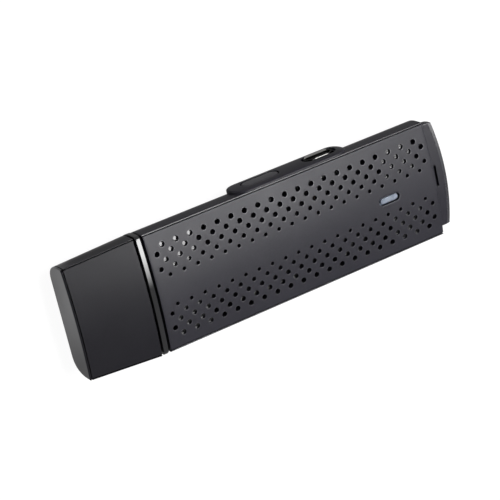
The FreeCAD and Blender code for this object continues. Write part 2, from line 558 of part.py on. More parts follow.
def plug_outline(name, inset, x, length):
    half = "plug_width/2"
    sk_pts = [(-V["plug_width"] / 2 + inset, V["plug_height"] / 2 - inset),
              (-V["plug_width"] / 2 + inset, V["plug_height"] / 2 - V["plug_side"] + 0.4 * inset),
              (-V["plug_bottom_width"] / 2 + 0.4 * inset, -V["plug_height"] / 2 + inset),
              (V["plug_bottom_width"] / 2 - 0.4 * inset, -V["plug_height"] / 2 + inset),
              (V["plug_width"] / 2 - inset, V["plug_height"] / 2 - V["plug_side"] + 0.4 * inset),
              (V["plug_width"] / 2 - inset, V["plug_height"] / 2 - inset)]
    form = [("-plug_width/2 + %g" % inset, "plug_height/2 - %g" % inset),
            ("-plug_width/2 + %g" % inset, "plug_height/2 - plug_side + %g" % (0.4 * inset)),
            ("-plug_bottom_width/2 + %g" % (0.4 * inset), "-plug_height/2 + %g" % inset),
            ("plug_bottom_width/2 - %g" % (0.4 * inset), "-plug_height/2 + %g" % inset),
            ("plug_width/2 - %g" % inset, "plug_height/2 - plug_side + %g" % (0.4 * inset)),
            ("plug_width/2 - %g" % inset, "plug_height/2 - %g" % inset)]
    sk = doc.addObject("Sketcher::SketchObject", name + "_sketch")
    sk.Placement = Placement(Vector(), ACROSS)
    place(sk, x, "0", "plug_z")
    n = len(sk_pts)
    for i in range(n):
        p, q = sk_pts[i], sk_pts[(i + 1) % n]
        sk.addGeometry(Part.LineSegment(Vector(p[0], p[1], 0), Vector(q[0], q[1], 0)), False)
    for i in range(n):
        sk.addConstraint(Sketcher.Constraint("Coincident", i, 2, (i + 1) % n, 1))
    for i in range(n):
        for kind, number, text in (("DistanceX", sk_pts[i][0], form[i][0]), ("DistanceY", sk_pts[i][1], form[i][1])):
            if number > 0:
                m = sk.addConstraint(Sketcher.Constraint(kind, -1, 1, i, 1, number))
                sk.setExpression("Constraints[%d]" % m, ex(text))
            else:
                m = sk.addConstraint(Sketcher.Constraint(kind, i, 1, -1, 1, -number))
                sk.setExpression("Constraints[%d]" % m, "-(%s)" % ex(text))
    return sweep_x(name, sk, length)


shell_out = plug_outline("plug_out", 0.0, "plug_x_min", "plug_length")
shell_in = plug_outline("plug_in", V["plug_sheet"], "plug_x_min - 1", "plug_length + 2")
catches = []
for k, (py, pz) in enumerate([("3.4", "plug_z + plug_height/2"), ("-3.4", "plug_z + plug_height/2"),
                              ("2.6", "plug_z - plug_height/2"), ("-2.6", "plug_z - plug_height/2")]):
    catches.append(mid_box("plug_catch_%d" % k, "2.2", "1.9", "0.62", "38.6", py, pz))
node("plug_shell", cut("plug_shell_done", cut("plug_tube", shell_out, shell_in), group("plug_catches", *catches)))

fill = plug_outline("insulator_bar", V["plug_sheet"], "plug_x_min", "plug_length - insulator_recess")
fill_slot = box("insulator_slot", "insulator_slot_depth + 1", "insulator_slot_width", "insulator_slot_height",
                "plug_x_min + plug_length - insulator_recess - insulator_slot_depth", "-insulator_slot_width/2",
                "plug_z - insulator_slot_height/2")
strips = []
for row, count, level, sign in (("up", 10, "plug_z + insulator_slot_height/2 - contact_thickness", 1),
                                ("low", 9, "plug_z - insulator_slot_height/2", -1)):
    for k in range(count):
        y = "(%.1f)*contact_pitch - contact_width/2" % (k - (count - 1) / 2.0)
        strips.append(fuse("contact_%s_%d" % (row, k),
                           box("contact_%s_%d_a" % (row, k), "contact_front - plug_x_min + 0.25", "contact_width",
                               "contact_thickness", "plug_x_min - 0.25", y, level),
                           box("contact_%s_%d_b" % (row, k), "0.25", "contact_width",
                               "%s + contact_thickness - board_top" % level, "plug_x_min - 0.25", y, "board_top"),
                           box("contact_%s_%d_c" % (row, k), "plug_x_min - contact_foot_x", "contact_width",
                               "0.18", "contact_foot_x", y, "board_top")))
contacts = group("contacts_group", *strips)
node("plug_insulator", cut("insulator_done", cut("insulator_bare", fill, fill_slot),
                           group("contact_channels", *strips)))
node("plug_contacts", contacts)

# ---------------------------------------------------------------- main board
board = doc.addObject("PartDesign::Body", "board_body")
board_plane = next(f for f in board.Origin.OriginFeatures if f.Role == "XY_Plane")
bsk = board.newObject("Sketcher::SketchObject", "board_sketch")
bsk.AttachmentSupport = [(board_plane, "")]
bsk.MapMode = "FlatFace"
bp = [("board_x_min", "-board_half_width"), ("board_x_max", "-board_half_width"),
      ("board_x_max", "-board_notch_half_width"), ("board_notch_x", "-board_notch_half_width"),
      ("board_notch_x", "board_notch_half_width"), ("board_x_max", "board_notch_half_width"),
      ("board_x_max", "board_half_width"), ("board_x_min", "board_half_width")]
bpts = [Vector(V[a.strip("-")] * (-1 if a[0] == "-" else 1), V[b.strip("-")] * (-1 if b[0] == "-" else 1), 0)
        for a, b in bp]
for i in range(8):
    bsk.addGeometry(Part.LineSegment(bpts[i], bpts[(i + 1) % 8]), False)
for i in range(8):
    bsk.addConstraint(Sketcher.Constraint("Coincident", i, 2, (i + 1) % 8, 1))
for i, (a, b) in enumerate(bp):
    for kind, number, text in (("DistanceX", bpts[i].x, a), ("DistanceY", bpts[i].y, b)):
        if number > 0:
            m = bsk.addConstraint(Sketcher.Constraint(kind, -1, 1, i, 1, number))
            bsk.setExpression("Constraints[%d]" % m, ex(text))
        else:
            m = bsk.addConstraint(Sketcher.Constraint(kind, i, 1, -1, 1, -number))
            bsk.setExpression("Constraints[%d]" % m, "-(%s)" % ex(text))
bpad = board.newObject("PartDesign::Pad", "board_pad")
bpad.Profile = bsk
bind(bpad, Length="board_thickness")
board.Tip = bpad
doc.recompute()
before = bpad.Shape.Volume
hsk = board.newObject("Sketcher::SketchObject", "board_holes_sketch")
hsk.AttachmentSupport = [(board_plane, "")]
hsk.MapMode = "FlatFace"
for i, (a, b) in enumerate([("screw_ax", "screw_ay"), ("screw_bx", "screw_by")]):
    hsk.addGeometry(Part.Circle(Vector(V[a], V[b], 0), Vector(0, 0, 1), V["screw_hole"] / 2), False)
    for kind, number, text in (("DistanceX", V[a], a), ("DistanceY", V[b], b)):
        if number > 0:
            m = hsk.addConstraint(Sketcher.Constraint(kind, -1, 1, i, 3, number))
            hsk.setExpression("Constraints[%d]" % m, ex(text))
        else:
            m = hsk.addConstraint(Sketcher.Constraint(kind, i, 3, -1, 1, -number))
            hsk.setExpression("Constraints[%d]" % m, "-(%s)" % ex(text))
    m = hsk.addConstraint(Sketcher.Constraint("Radius", i, V["screw_hole"] / 2))
    hsk.setExpression("Constraints[%d]" % m, ex("screw_hole/2"))
pocket = board.newObject("PartDesign::Pocket", "board_holes")
pocket.Profile = hsk
pocket.Type = "ThroughAll"
pocket.Reversed = True
board.Tip = pocket
doc.recompute()
if not pocket.Shape.Volume < before - 1:
    pocket.Reversed = False
    doc.recompute()
place(board, "0", "0", "board_top - board_thickness")
seat("main_board", board, "0")

# ---------------------------------------------------------------- chips and small parts on the board
seat("processor_chip", block("processor_chip_body", "12", "12", "1.2", "shield_x + 1.5", "shield_y", "board_top",
                             "0.15"), "shield_y")
seat("memory_chip", block("memory_chip_body", "6.4", "10", "0.9", "15", "2", "board_top", "0.1"), "2")
seat("flash_chip", block("flash_chip_body", "5", "6", "0.8", "-26.5", "-6", "board_top", "0.1"), "-6")
seat("radio_board", block("radio_board_body", "12", "12", "0.8", "-23.5", "5.8", "board_top"), "5.8")
seat("radio_shield", block("radio_shield_body", "11", "10.6", "1.3", "-23.5", "5.8", "board_top + 0.8", "0.2"), "5.8")
seat("clock_crystal", block("clock_crystal_body", "3.2", "2.5", "0.7", "13.4", "9.2", "board_top", "0.15"), "9.2")

coil_xy = [("-13", "-5.4"), ("-13", "-1"), ("-13", "3.4")]
coils = []
for k, (px, py) in enumerate(coil_xy):
    coils.append(fuse("coil_%d" % k,
                      mid_box("coil_%d_foot" % k, "3", "3", "0.4", px, py, "board_top + 0.2"),
                      rod("coil_%d_drum" % k, "1.1", "1.2", px, py, "board_top + 0.3"),
                      rod("coil_%d_lid" % k, "1.45", "0.4", px, py, "board_top + 1.4")))
node("power_coils", group("coils_group", *coils))
cap_xy = [("-16.5", "-4.8"), ("-16.5", "-3"), ("-16.5", "-1.2"), ("17.5", "-6.4"), ("15.6", "-6.4"), ("13.7", "-6.4"),
          ("-33", "-5"), ("-33", "-7")]
caps = [mid_box("ceramic_%d" % k, "1.6", "0.8", "0.8", px, py, "board_top + 0.4")
        for k, (px, py) in enumerate(cap_xy)]
node("capacitors", group("capacitors_group", *caps))

frame_out = mid_box("frame_out", "shield_length", "shield_width", "shield_height", "shield_x", "shield_y",
                    "board_top + shield_height/2")
frame_in = mid_box("frame_in", "shield_length - 2*shield_sheet", "shield_width - 2*shield_sheet",
                   "shield_height + 2", "shield_x", "shield_y", "board_top + shield_height/2")
node("shield_frame", cut("frame_done", frame_out, frame_in))
lid_out = mid_box("lid_out", "shield_length + 2*shield_sheet + 0.04", "shield_width + 2*shield_sheet + 0.04",
                  "1.1 + shield_sheet", "shield_x", "shield_y", "board_top + shield_height - 0.55 + shield_sheet/2")
lid_in = mid_box("lid_in", "shield_length + 0.04", "shield_width + 0.04", "1.1", "shield_x", "shield_y",
                 "board_top + shield_height - 0.55")
node("shield_lid", cut("lid_done", lid_out, lid_in))
seat("thermal_pad", block("thermal_pad_body", "13", "13", "pad_thickness", "shield_x + 1.5", "shield_y",
                          "board_top + shield_height + shield_sheet"), "shield_y")
seat("chip_pad", block("chip_pad_body", "11", "11", "shield_height - 1.2", "shield_x + 1.5", "shield_y",
                       "board_top + 1.2"), "shield_y")
seat("heat_spreader", block("heat_spreader_body", "spreader_length", "spreader_width", "spreader_thickness",
                            "shield_x + 1.5", "0",
                            "board_top + shield_height + shield_sheet + pad_thickness", "0.15"), "0")

for side, sign in (("a", ""), ("b", "-")):
    strip = mid_box("antenna_%s_strip" % side, "0.2", "8.5", "0.9", "-41.2", "%s6.5" % sign, "6.0")
    foot = mid_box("antenna_%s_foot" % side, "0.2", "0.9", "2.85", "-41.2", "%s2.7" % sign, "board_top + 1.425")
    arm = mid_box("antenna_%s_arm" % side, "0.2", "0.9", "2.85", "-41.2", "%s5.2" % sign, "board_top + 1.425")
    node("antenna_%s" % side, fuse("antenna_%s_done" % side, strip, foot, arm))

screws = []
for k, (px, py) in enumerate([("screw_ax", "screw_ay"), ("screw_bx", "screw_by")]):
    shank = rod("screw_%d_shank" % k, "screw_shank/2 - 0.02", "screw_length", px, py, "board_top - screw_length + 0.6")
    head = rod("screw_%d_head" % k, "screw_head/2", "screw_head_height", px, py, "board_top")
    drive = fuse("screw_%d_drive" % k,
                 mid_box("screw_%d_drive_a" % k, "1.6", "0.35", "0.6", px, py, "board_top + screw_head_height"),
                 mid_box("screw_%d_drive_b" % k, "0.35", "1.6", "0.6", px, py, "board_top + screw_head_height"))
    screws.append(cut("screw_%d" % k, fuse("screw_%d_blank" % k, shank, head), drive))
node("board_screws", group("screws_group", *screws))

# ---------------------------------------------------------------- label on the underside
node("rating_label", mid_box("label_sheet", "label_length - 0.3", "label_width - 0.3", "label_thickness", "-10", "0",
                             "label_recess - label_thickness/2"))
keep_y(nodes["rating_label"], "-(label_width - 0.3)/2")
node("rating_label", nodes["rating_label"])

# ---------------------------------------------------------------- checks and files
doc.recompute()
bad = [o.Name for o in doc.Objects if "Invalid" in o.State or "Error" in o.State]
for name, obj in nodes.items():
    if obj.Shape.isNull() or not obj.Shape.isValid() or not obj.Shape.Solids:
        bad.append(name)
if bad:
    raise RuntimeError("failed: " + ", ".join(bad))
os.makedirs("parts", exist_ok=True)
whole = FreeCAD.BoundBox()
for name, obj in sorted(nodes.items()):
    obj.Shape.exportStep("parts/%s.step" % name)
    whole.add(obj.Shape.BoundBox)
    print("%-16s solids %2d  volume %9.2f" % (name, len(obj.Shape.Solids), obj.Shape.Volume))
print("envelope", [round(v, 3) for v in (whole.XMin, whole.XMax, whole.YMin, whole.YMax, whole.ZMin, whole.ZMax)])
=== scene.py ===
import math

import bmesh
import bpy
import numpy as np
from mathutils import Matrix, Vector
from mathutils.geometry import delaunay_2d_cdt


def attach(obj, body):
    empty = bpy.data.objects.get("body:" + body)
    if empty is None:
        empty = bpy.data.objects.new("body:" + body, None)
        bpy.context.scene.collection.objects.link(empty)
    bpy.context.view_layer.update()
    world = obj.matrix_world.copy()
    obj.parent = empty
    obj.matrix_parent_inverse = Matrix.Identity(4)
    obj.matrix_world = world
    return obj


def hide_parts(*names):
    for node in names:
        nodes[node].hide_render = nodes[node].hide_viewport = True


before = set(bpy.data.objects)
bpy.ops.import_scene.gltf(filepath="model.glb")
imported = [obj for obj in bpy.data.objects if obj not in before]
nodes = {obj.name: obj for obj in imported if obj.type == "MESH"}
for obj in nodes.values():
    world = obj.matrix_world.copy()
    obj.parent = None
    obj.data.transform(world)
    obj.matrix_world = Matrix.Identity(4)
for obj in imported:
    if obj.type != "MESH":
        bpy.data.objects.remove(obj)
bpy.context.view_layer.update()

# All shapes below are written in millimetres, mirrored about the stick's own middle plane.
# The frame's origin lies under the middle of the whole envelope, so everything shifts by SHIFT.
SHIFT = 0.39
CROWN = 93.79


# ------------------------------------------------------------------ mesh helpers
class Shape:
    """Collects points in millimetres and faces; matching points are merged when it is built."""

    def __init__(self):
        self.points, self.faces, self.kinds = [], [], []

    def put(self, pts):
        start = len(self.points)
        self.points.extend((float(p[0]), float(p[1]), float(p[2])) for p in pts)
        return list(range(start, len(self.points)))

    def face(self, ids, kind=0):
        self.faces.append(tuple(ids))
        self.kinds.append(kind)

    def loft(self, loops, closed=True, kind=0, pick=None):
        ids = [self.put(one) for one in loops]
        n = len(ids[0])
        for a, b in zip(ids, ids[1:]):
            for i in range(n if closed else n - 1):
                j = (i + 1) % n
                self.face((a[i], a[j], b[j], b[i]), pick(i) if pick else kind)

    def fan(self, loop, centre, kind=0):
        ids = self.put(list(loop) + [centre])
        n = len(loop)
        for i in range(n):
            self.face((ids[i], ids[(i + 1) % n], ids[n]), kind)

    def fill(self, outer, holes, lift, step=None, kind=0):
        """Triangles between an outer outline and hole outlines in a plane; lift makes each 3-D."""
        pts, edges = [], []
        for one in [outer] + list(holes):
            s = len(pts)
            pts.extend((float(p[0]), float(p[1])) for p in one)
            edges.extend((s + i, s + (i + 1) % len(one)) for i in range(len(one)))
        if step:
            rim = np.array(pts)
            lo, hi = rim.min(0), rim.max(0)
            rows = max(1, int(round((hi[1] - lo[1]) / (step * 0.866))))
            extra = []
            for r in range(1, rows):
                y = lo[1] + (hi[1] - lo[1]) * r / rows
                shift = 0.5 * step if r % 2 else 0.0
                extra.extend((x, y) for x in np.arange(lo[0] + shift + 0.3 * step, hi[0], step))
            if extra:
                extra = np.array(extra)
                keep = within(outer, extra)
                for h in holes:
                    keep &= ~within(h, extra)
                extra = extra[keep]
                if len(extra):
                    near = np.full(len(extra), 1e9)
                    for k in range(0, len(rim), 64):
                        d = np.linalg.norm(extra[:, None, :] - rim[None, k:k + 64, :], axis=2).min(1)
                        near = np.minimum(near, d)
                    pts.extend(map(tuple, extra[near > 0.62 * step]))
        got = delaunay_2d_cdt([Vector(p) for p in pts], edges, [], 0, 1e-6)
        coords, tris, source = got[0], got[2], got[3]
        flat = [pts[o[0]] if o else tuple(c) for c, o in zip(coords, source)]
        mids = np.array([[sum(flat[i][0] for i in t) / 3, sum(flat[i][1] for i in t) / 3] for t in tris])
        keep = within(outer, mids)
        for h in holes:
            keep &= ~within(h, mids)
        ids = self.put([lift(*p) for p in flat])
        for t, k in zip(tris, keep):
            if k:
                self.face([ids[i] for i in t], kind)

    def build(self, name, materials, body, node=None, sharp=32.0):
        me = bpy.data.meshes.new(name)
        pts = [(x * 0.001, (y + SHIFT) * 0.001, z * 0.001) for x, y, z in self.points]
        me.from_pydata(pts, [], self.faces)
        me.polygons.foreach_set("material_index", self.kinds)
        bm = bmesh.new()
        bm.from_mesh(me)
        bmesh.ops.remove_doubles(bm, verts=bm.verts, dist=6e-7)
        bmesh.ops.dissolve_degenerate(bm, edges=bm.edges, dist=2e-7)
        stitch(bm)
        bmesh.ops.recalc_face_normals(bm, faces=bm.faces)
        open_edges = sum(1 for e in bm.edges if len(e.link_faces) != 2)
        bm.to_mesh(me)
        bm.free()
        me.shade_smooth()
        me.set_sharp_from_angle(angle=math.radians(sharp))
        obj = bpy.data.objects.new(name, me)
        bpy.context.scene.collection.objects.link(obj)
        for m in materials:
            me.materials.append(m)
        weigh = obj.modifiers.new("face_weighted_normals", "WEIGHTED_NORMAL")
        weigh.mode = "FACE_AREA"
        weigh.weight = 60
        weigh.keep_sharp = True
        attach(obj, body)
        if node:
            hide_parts(node)
        print("piece %-14s points %6d  faces %6d  open edges %d" % (name, len(me.vertices), len(me.polygons), open_edges))
        return obj


def stitch(bm, gap=1.5e-6):
    """Closes seams where one side has a corner that the straight edge beside it lacks."""
    for _ in range(6):
        loose = [e for e in bm.edges if len(e.link_faces) == 1]
        if not loose:
            return
        corners = list({v for e in loose for v in e.verts})
        cuts = []
        for e in loose:
            a, b = e.verts
            d = b.co - a.co
            for v in corners:
                if v in e.verts:
                    continue
                f = (v.co - a.co).dot(d) / d.length_squared
                if 1e-4 < f < 1 - 1e-4 and (a.co + d * f - v.co).length < gap:
                    cuts.append((e, a, f, v.co.copy()))
                    break
        for e, a, f, co in cuts:
            bmesh.utils.edge_split(e, a, f)[1].co = co
        bmesh.ops.remove_doubles(bm, verts=[v for v in bm.verts if v.is_boundary], dist=gap)
        if not cuts:
            return


def within(poly, pts):
    """Which points lie inside a polygon, by the even-odd rule."""
    p = np.asarray(pts, float)
    q = np.asarray([(a[0], a[1]) for a in poly], float)
    out = np.zeros(len(p), bool)
    for (x0, y0), (x1, y1) in zip(q, np.roll(q, -1, axis=0)):
        if y0 == y1:
            continue
        hit = (y0 > p[:, 1]) != (y1 > p[:, 1])
        out ^= hit & (p[:, 0] < (x1 - x0) * (p[:, 1] - y0) / (y1 - y0) + x0)
    return out


def arc(cx, cy, r, a, b, n):
    return [(cx + r * math.cos(a + (b - a) * i / n), cy + r * math.sin(a + (b - a) * i / n)) for i in range(n + 1)]


def stadium(cx, cy, length, height, n=14, side=10):
    """A slot outline, counter-clockwise."""
    r = height / 2
    h = length / 2 - r
    out = arc(cx + h, cy, r, -math.pi / 2, math.pi / 2, n)
    out += [(cx + h - 2 * h * i / side, cy + r) for i in range(1, side)]
    out += arc(cx - h, cy, r, math.pi / 2, 3 * math.pi / 2, n)
    out += [(cx - h + 2 * h * i / side, cy - r) for i in range(1, side)]
    return out


def rounded(cx, cy, width, height, r, n=4, wide=6, tall=4):
    """A rectangle outline with round corners, counter-clockwise."""
    a, b = width / 2 - r, height / 2 - r
    out = []
    for k, (sx, sy) in enumerate([(1, -1), (1, 1), (-1, 1), (-1, -1)]):
        out += arc(cx + sx * a, cy + sy * b, r, (k - 1) * math.pi / 2, k * math.pi / 2, n)
        x0, y0 = out[-1]
        nx, ny = [(1, 1), (-1, 1), (-1, -1), (1, -1)][k]
        x1, y1 = [(cx + a + r, cy + b), (cx - a, cy + b + r), (cx - a - r, cy - b), (cx + a, cy - b - r)][k]
        m = tall if k % 2 == 0 else wide
        out += [(x0 + (x1 - x0) * i / m, y0 + (y1 - y0) * i / m) for i in range(1, m)]
    return out


def inset(loop, d):
    """The outline moved inward by d, point by point (counter-clockwise outlines)."""
    p = np.array(loop, float)
    a = p - np.roll(p, 1, axis=0)
    b = np.roll(p, -1, axis=0) - p
    na = np.stack([-a[:, 1], a[:, 0]], 1) / np.maximum(np.linalg.norm(a, axis=1), 1e-12)[:, None]
    nb = np.stack([-b[:, 1], b[:, 0]], 1) / np.maximum(np.linalg.norm(b, axis=1), 1e-12)[:, None]
    m = na + nb
    m /= np.maximum((m * na).sum(1), 0.4)[:, None]
    return [tuple(v) for v in p + d * m]


class Section:
    """The stick's cross outline: flat bottom, two-arc corners, upright sides, crowned top."""

    def __init__(self, half, widest, bottom, side, corner, crown):
        self.w, self.zw, self.zb, self.r2, self.r1, self.zc = half, widest, bottom, side, corner, crown
        self.yb = half - side + math.sqrt((side - corner) ** 2 - (widest - bottom - corner) ** 2)
        self.turn = math.atan2(bottom + corner - widest, self.yb - (half - side))
        self.zj = widest + side * math.sin(self.turn)
        self.edge = self.top(half)

    def top(self, y):
        return self.zc - CROWN + math.sqrt(CROWN * CROWN - y * y)

    def wall(self, z):
        if z >= self.zw:
            return self.w
        if z >= self.zj:
            return self.w - self.r2 + math.sqrt(max(0.0, self.r2 ** 2 - (z - self.zw) ** 2))
        return self.yb + math.sqrt(max(0.0, self.r1 ** 2 - (z - self.zb - self.r1) ** 2))

    def smaller(self, d):
        return Section(self.w - d, self.zw, self.zb + d, self.r2 - d, self.r1 - d, self.zc - d)

    def loop(self, soft=0.3, n1=9, n2=10, ne=7, nt=30, nb=12, groove=None):
        """Closed and counter-clockwise from the lower left, with a rounded upper edge.
        groove is (distance from the edge, width, depth) of a fine line along both upper edges."""
        c0 = self.zc - CROWN
        cy = self.w - soft
        cz = c0 + math.sqrt((CROWN - soft) ** 2 - cy * cy)
        psi = math.atan2(cz - c0, cy)
        right = arc(self.yb, self.zb + self.r1, self.r1, -math.pi / 2, self.turn, n1)
        right += arc(self.w - self.r2, self.zw, self.r2, self.turn, 0, n2)[1:]
        right += arc(cy, cz, soft, 0, psi, ne)
        top = arc(0, c0, CROWN, psi, math.pi - psi, nt)[1:-1]
        if groove:
            away, wide, deep = groove
            a0, a1 = psi + away / CROWN, psi + (away + wide) / CROWN
            cut = [(CROWN * math.cos(a), c0 + CROWN * math.sin(a)) for a in (a0, a0 + 0.03 / CROWN, a1 - 0.03 / CROWN, a1)]
            cut[1], cut[2] = (cut[1][0], cut[1][1] - deep), (cut[2][0], cut[2][1] - deep)
            top = cut + arc(0, c0, CROWN, a1, math.pi - a1, nt)[1:-1] + [(-y, z) for y, z in reversed(cut)]
        left = [(-y, z) for y, z in reversed(right)]
        base = [(-self.yb + 2 * self.yb * i / nb, self.zb) for i in range(1, nb)]
        return right + top + left + base


def at_x(x, loop):
    return [(x, y, z) for y, z in loop]


def steps(a, b, n):
    return [a + (b - a) * i / n for i in range(n + 1)]


# ------------------------------------------------------------------ materials
def tree(name):
    m = bpy.data.materials.new(name)
    m.use_nodes = True
    t = m.node_tree
    return m, t, t.nodes["Principled BSDF"]


def link(t, a, b):
    t.links.new(a, b)


def add(t, kind, **values):
    n = t.nodes.new(kind)
    for k, v in values.items():
        if k in n.inputs:
            n.inputs[k].default_value = v
        else:
            setattr(n, k, v)
    return n


def noise(t, coords, scale, detail=2.0, rough=0.5, distortion=0.0, stretch=None):
    n = add(t, "ShaderNodeTexNoise", Scale=scale, Detail=detail, Roughness=rough, Distortion=distortion)
    if stretch:
        m = add(t, "ShaderNodeMapping", Scale=stretch)
        link(t, coords, m.inputs["Vector"])
        coords = m.outputs["Vector"]
    link(t, coords, n.inputs["Vector"])
    return n.outputs["Fac"]


def span(t, value, low, high, a=0.0, b=1.0):
    n = t.nodes.new("ShaderNodeMapRange")
    n.inputs["From Min"].default_value = a
    n.inputs["From Max"].default_value = b
    n.inputs["To Min"].default_value = low
    n.inputs["To Max"].default_value = high
    link(t, value, n.inputs["Value"])
    return n.outputs["Result"]


def blend(t, fac, one, two):
    n = t.nodes.new("ShaderNodeMix")
    n.data_type = "RGBA"
    link(t, fac, n.inputs["Factor"])
    for socket, c in (("A", one), ("B", two)):
        place = [i for i in n.inputs if i.name == socket and i.type == "RGBA"][0]
        if isinstance(c, tuple):
            place.default_value = (*c, 1.0)
        else:
            link(t, c, place)
    return [o for o in n.outputs if o.type == "RGBA"][0]


def bumps(t, shader, layers):
    """Stacks bump layers: (height output, strength, distance in metres)."""
    last = None
    for height, strength, distance in layers:
        b = add(t, "ShaderNodeBump", Strength=strength, Distance=distance)
        link(t, height, b.inputs["Height"])
        if last:
            link(t, last, b.inputs["Normal"])
        last = b.outputs["Normal"]
    link(t, last, shader.inputs["Normal"])


def plastic(name, dark, light, rough, spread, grain=8500.0, grain_strength=0.12, specular=0.5, tint=0.5,
            grain_depth=1.2e-5, second=None):
    """Moulded plastic: mottled colour, uneven gloss and a spark-eroded grain."""
    m, t, s = tree(name)
    c = t.nodes.new("ShaderNodeTexCoord").outputs["Object"]
    cloud = noise(t, c, 140.0, 4.0, 0.55)
    fleck = noise(t, c, 2600.0, 3.0, 0.6)
    fine = noise(t, c, grain, 2.0, 0.5)
    tone = blend(t, span(t, cloud, 0.0, 1.0, 0.32, 0.68), dark, light)
    tone = blend(t, span(t, fleck, 0.0, tint, 0.45, 0.75), tone, tuple(min(1.0, v * 1.35) for v in light))
    link(t, tone, s.inputs["Base Color"])
    patch = noise(t, c, 60.0, 3.0, 0.5)
    r = add(t, "ShaderNodeMath", operation="MULTIPLY_ADD")
    link(t, span(t, fleck, -0.5, 0.5, 0.3, 0.7), r.inputs[0])
    r.inputs[1].default_value = spread
    link(t, span(t, patch, rough - spread, rough + spread, 0.35, 0.65), r.inputs[2])
    link(t, r.outputs[0], s.inputs["Roughness"])
    s.inputs["Specular IOR Level"].default_value = specular
    layers = [(fine, grain_strength, grain_depth)]
    if second:
        layers.append((noise(t, c, second[0], 2.0, 0.5), second[1], second[2]))
    bumps(t, s, layers)
    return m


def gloss(name, dark, light, rough):
    """Polished plastic with faint handling marks."""
    m, t, s = tree(name)
    c = t.nodes.new("ShaderNodeTexCoord").outputs["Object"]
    haze = noise(t, c, 220.0, 4.0, 0.6)
    scratch = noise(t, c, 900.0, 3.0, 0.6, 0.4, (0.2, 6.0, 1.0))
    link(t, blend(t, haze, dark, light), s.inputs["Base Color"])
    link(t, span(t, scratch, rough * 0.8, rough * 1.5, 0.35, 0.75), s.inputs["Roughness"])
    bumps(t, s, [(haze, 0.05, 2.0e-5)])
    return m


def metal(name, dark, light, rough, spread=0.06, stretch=(1.0, 18.0, 18.0), scale=700.0, depth=4e-6, strength=0.25):
    """Plated or rolled metal, with drawing lines and slightly uneven gloss."""
    m, t, s = tree(name)
    c = t.nodes.new("ShaderNodeTexCoord").outputs["Object"]
    line = noise(t, c, scale, 3.0, 0.6, 0.0, stretch)
    cloud = noise(t, c, 300.0, 3.0, 0.5)
    link(t, blend(t, cloud, dark, light), s.inputs["Base Color"])
    s.inputs["Metallic"].default_value = 1.0
    link(t, span(t, line, rough - spread, rough + spread, 0.3, 0.7), s.inputs["Roughness"])
    bumps(t, s, [(line, strength, depth)])
    return m


def resin(name, dark, light, rough, scale=1500.0, strength=0.2, depth=1e-5, specular=0.4):
    """Moulded or sintered small parts: speckled colour with a faint skin."""
    m, t, s = tree(name)
    c = t.nodes.new("ShaderNodeTexCoord").outputs["Object"]
    speck = noise(t, c, scale, 5.0, 0.65)
    cloud = noise(t, c, 350.0, 2.0, 0.5)
    tone = blend(t, span(t, speck, 0.0, 1.0, 0.35, 0.7), dark, light)
    link(t, tone, s.inputs["Base Color"])
    link(t, span(t, cloud, rough - 0.07, rough + 0.07, 0.35, 0.65), s.inputs["Roughness"])
    s.inputs["Specular IOR Level"].default_value = specular
    bumps(t, s, [(speck, strength, depth)])
    return m


def board_mask(name):
    """Black solder mask over copper: routed tracks raise the mask."""
    m, t, s = tree(name)
    c = t.nodes.new("ShaderNodeTexCoord").outputs["Object"]
    brick = add(t, "ShaderNodeTexBrick", Scale=420.0)
    brick.inputs["Mortar Size"].default_value = 0.06
    brick.inputs["Brick Width"].default_value = 1.7
    brick.inputs["Row Height"].default_value = 0.34
    link(t, c, brick.inputs["Vector"])
    fibre = noise(t, c, 2400.0, 3.0, 0.6, 0.0, (1.0, 8.0, 1.0))
    track = brick.outputs["Fac"]
    tone = blend(t, track, (0.006, 0.0075, 0.008), (0.014, 0.018, 0.017))
    tone = blend(t, span(t, fibre, 0.0, 0.5, 0.5, 0.8), tone, (0.016, 0.02, 0.019))
    link(t, tone, s.inputs["Base Color"])
    link(t, span(t, fibre, 0.3, 0.42, 0.3, 0.7), s.inputs["Roughness"])
    bumps(t, s, [(track, 0.5, 2e-5), (fibre, 0.1, 6e-6)])
    return m


def milky(name):
    """Milky light guide: cool tint, soft scatter, smooth skin."""
    m, t, s = tree(name)
    c = t.nodes.new("ShaderNodeTexCoord").outputs["Object"]
    cloud = noise(t, c, 700.0, 3.0, 0.55)
    link(t, blend(t, span(t, cloud, 0.0, 1.0, 0.3, 0.7), (0.135, 0.16, 0.205), (0.20, 0.23, 0.285)), s.inputs["Base Color"])
    link(t, span(t, cloud, 0.22, 0.32, 0.3, 0.7), s.inputs["Roughness"])
    s.inputs["Subsurface Weight"].default_value = 0.25
    s.inputs["Subsurface Radius"].default_value = (0.6, 0.8, 1.0)
    s.inputs["Subsurface Scale"].default_value = 0.0006
    bumps(t, s, [(cloud, 0.1, 1e-5)])
    return m


cover_mat = plastic("cover_grain", (0.0120, 0.0114, 0.0168), (0.0150, 0.0142, 0.0205), 0.36, 0.03, 7200.0, 0.16,
                    specular=0.27, grain_depth=1.2e-5, second=(2300.0, 0.05, 1.6e-5))
# painted highlight: a lighter, glossier copy of the cover plastic for the rounded rims of the holes and the window slot
hole_rim_highlight_mat = plastic("cover_hole_rim_painted_highlight", (0.020, 0.0192, 0.0255), (0.025, 0.024, 0.031), 0.3, 0.03, 6400.0, 0.06,
                       specular=0.45)
dimple_mat = plastic("cover_dimple_floor", (0.0100, 0.0096, 0.0120), (0.0130, 0.0125, 0.0150), 0.21, 0.03, 5200.0, 0.03,
                    specular=0.62)
case_mat = plastic("case_plastic", (0.0120, 0.0115, 0.0165), (0.0150, 0.0143, 0.0200), 0.40, 0.03, 7800.0, 0.10,
                   specular=0.27)
# glossier than the case and painted lighter: partly a real glossy rim, partly a painted highlight along the rounded rim
rim_mat = plastic("case_rim_gloss_and_highlight", (0.016, 0.0153, 0.020), (0.020, 0.0193, 0.025), 0.27, 0.03, 7800.0, 0.03,
                  specular=0.62)
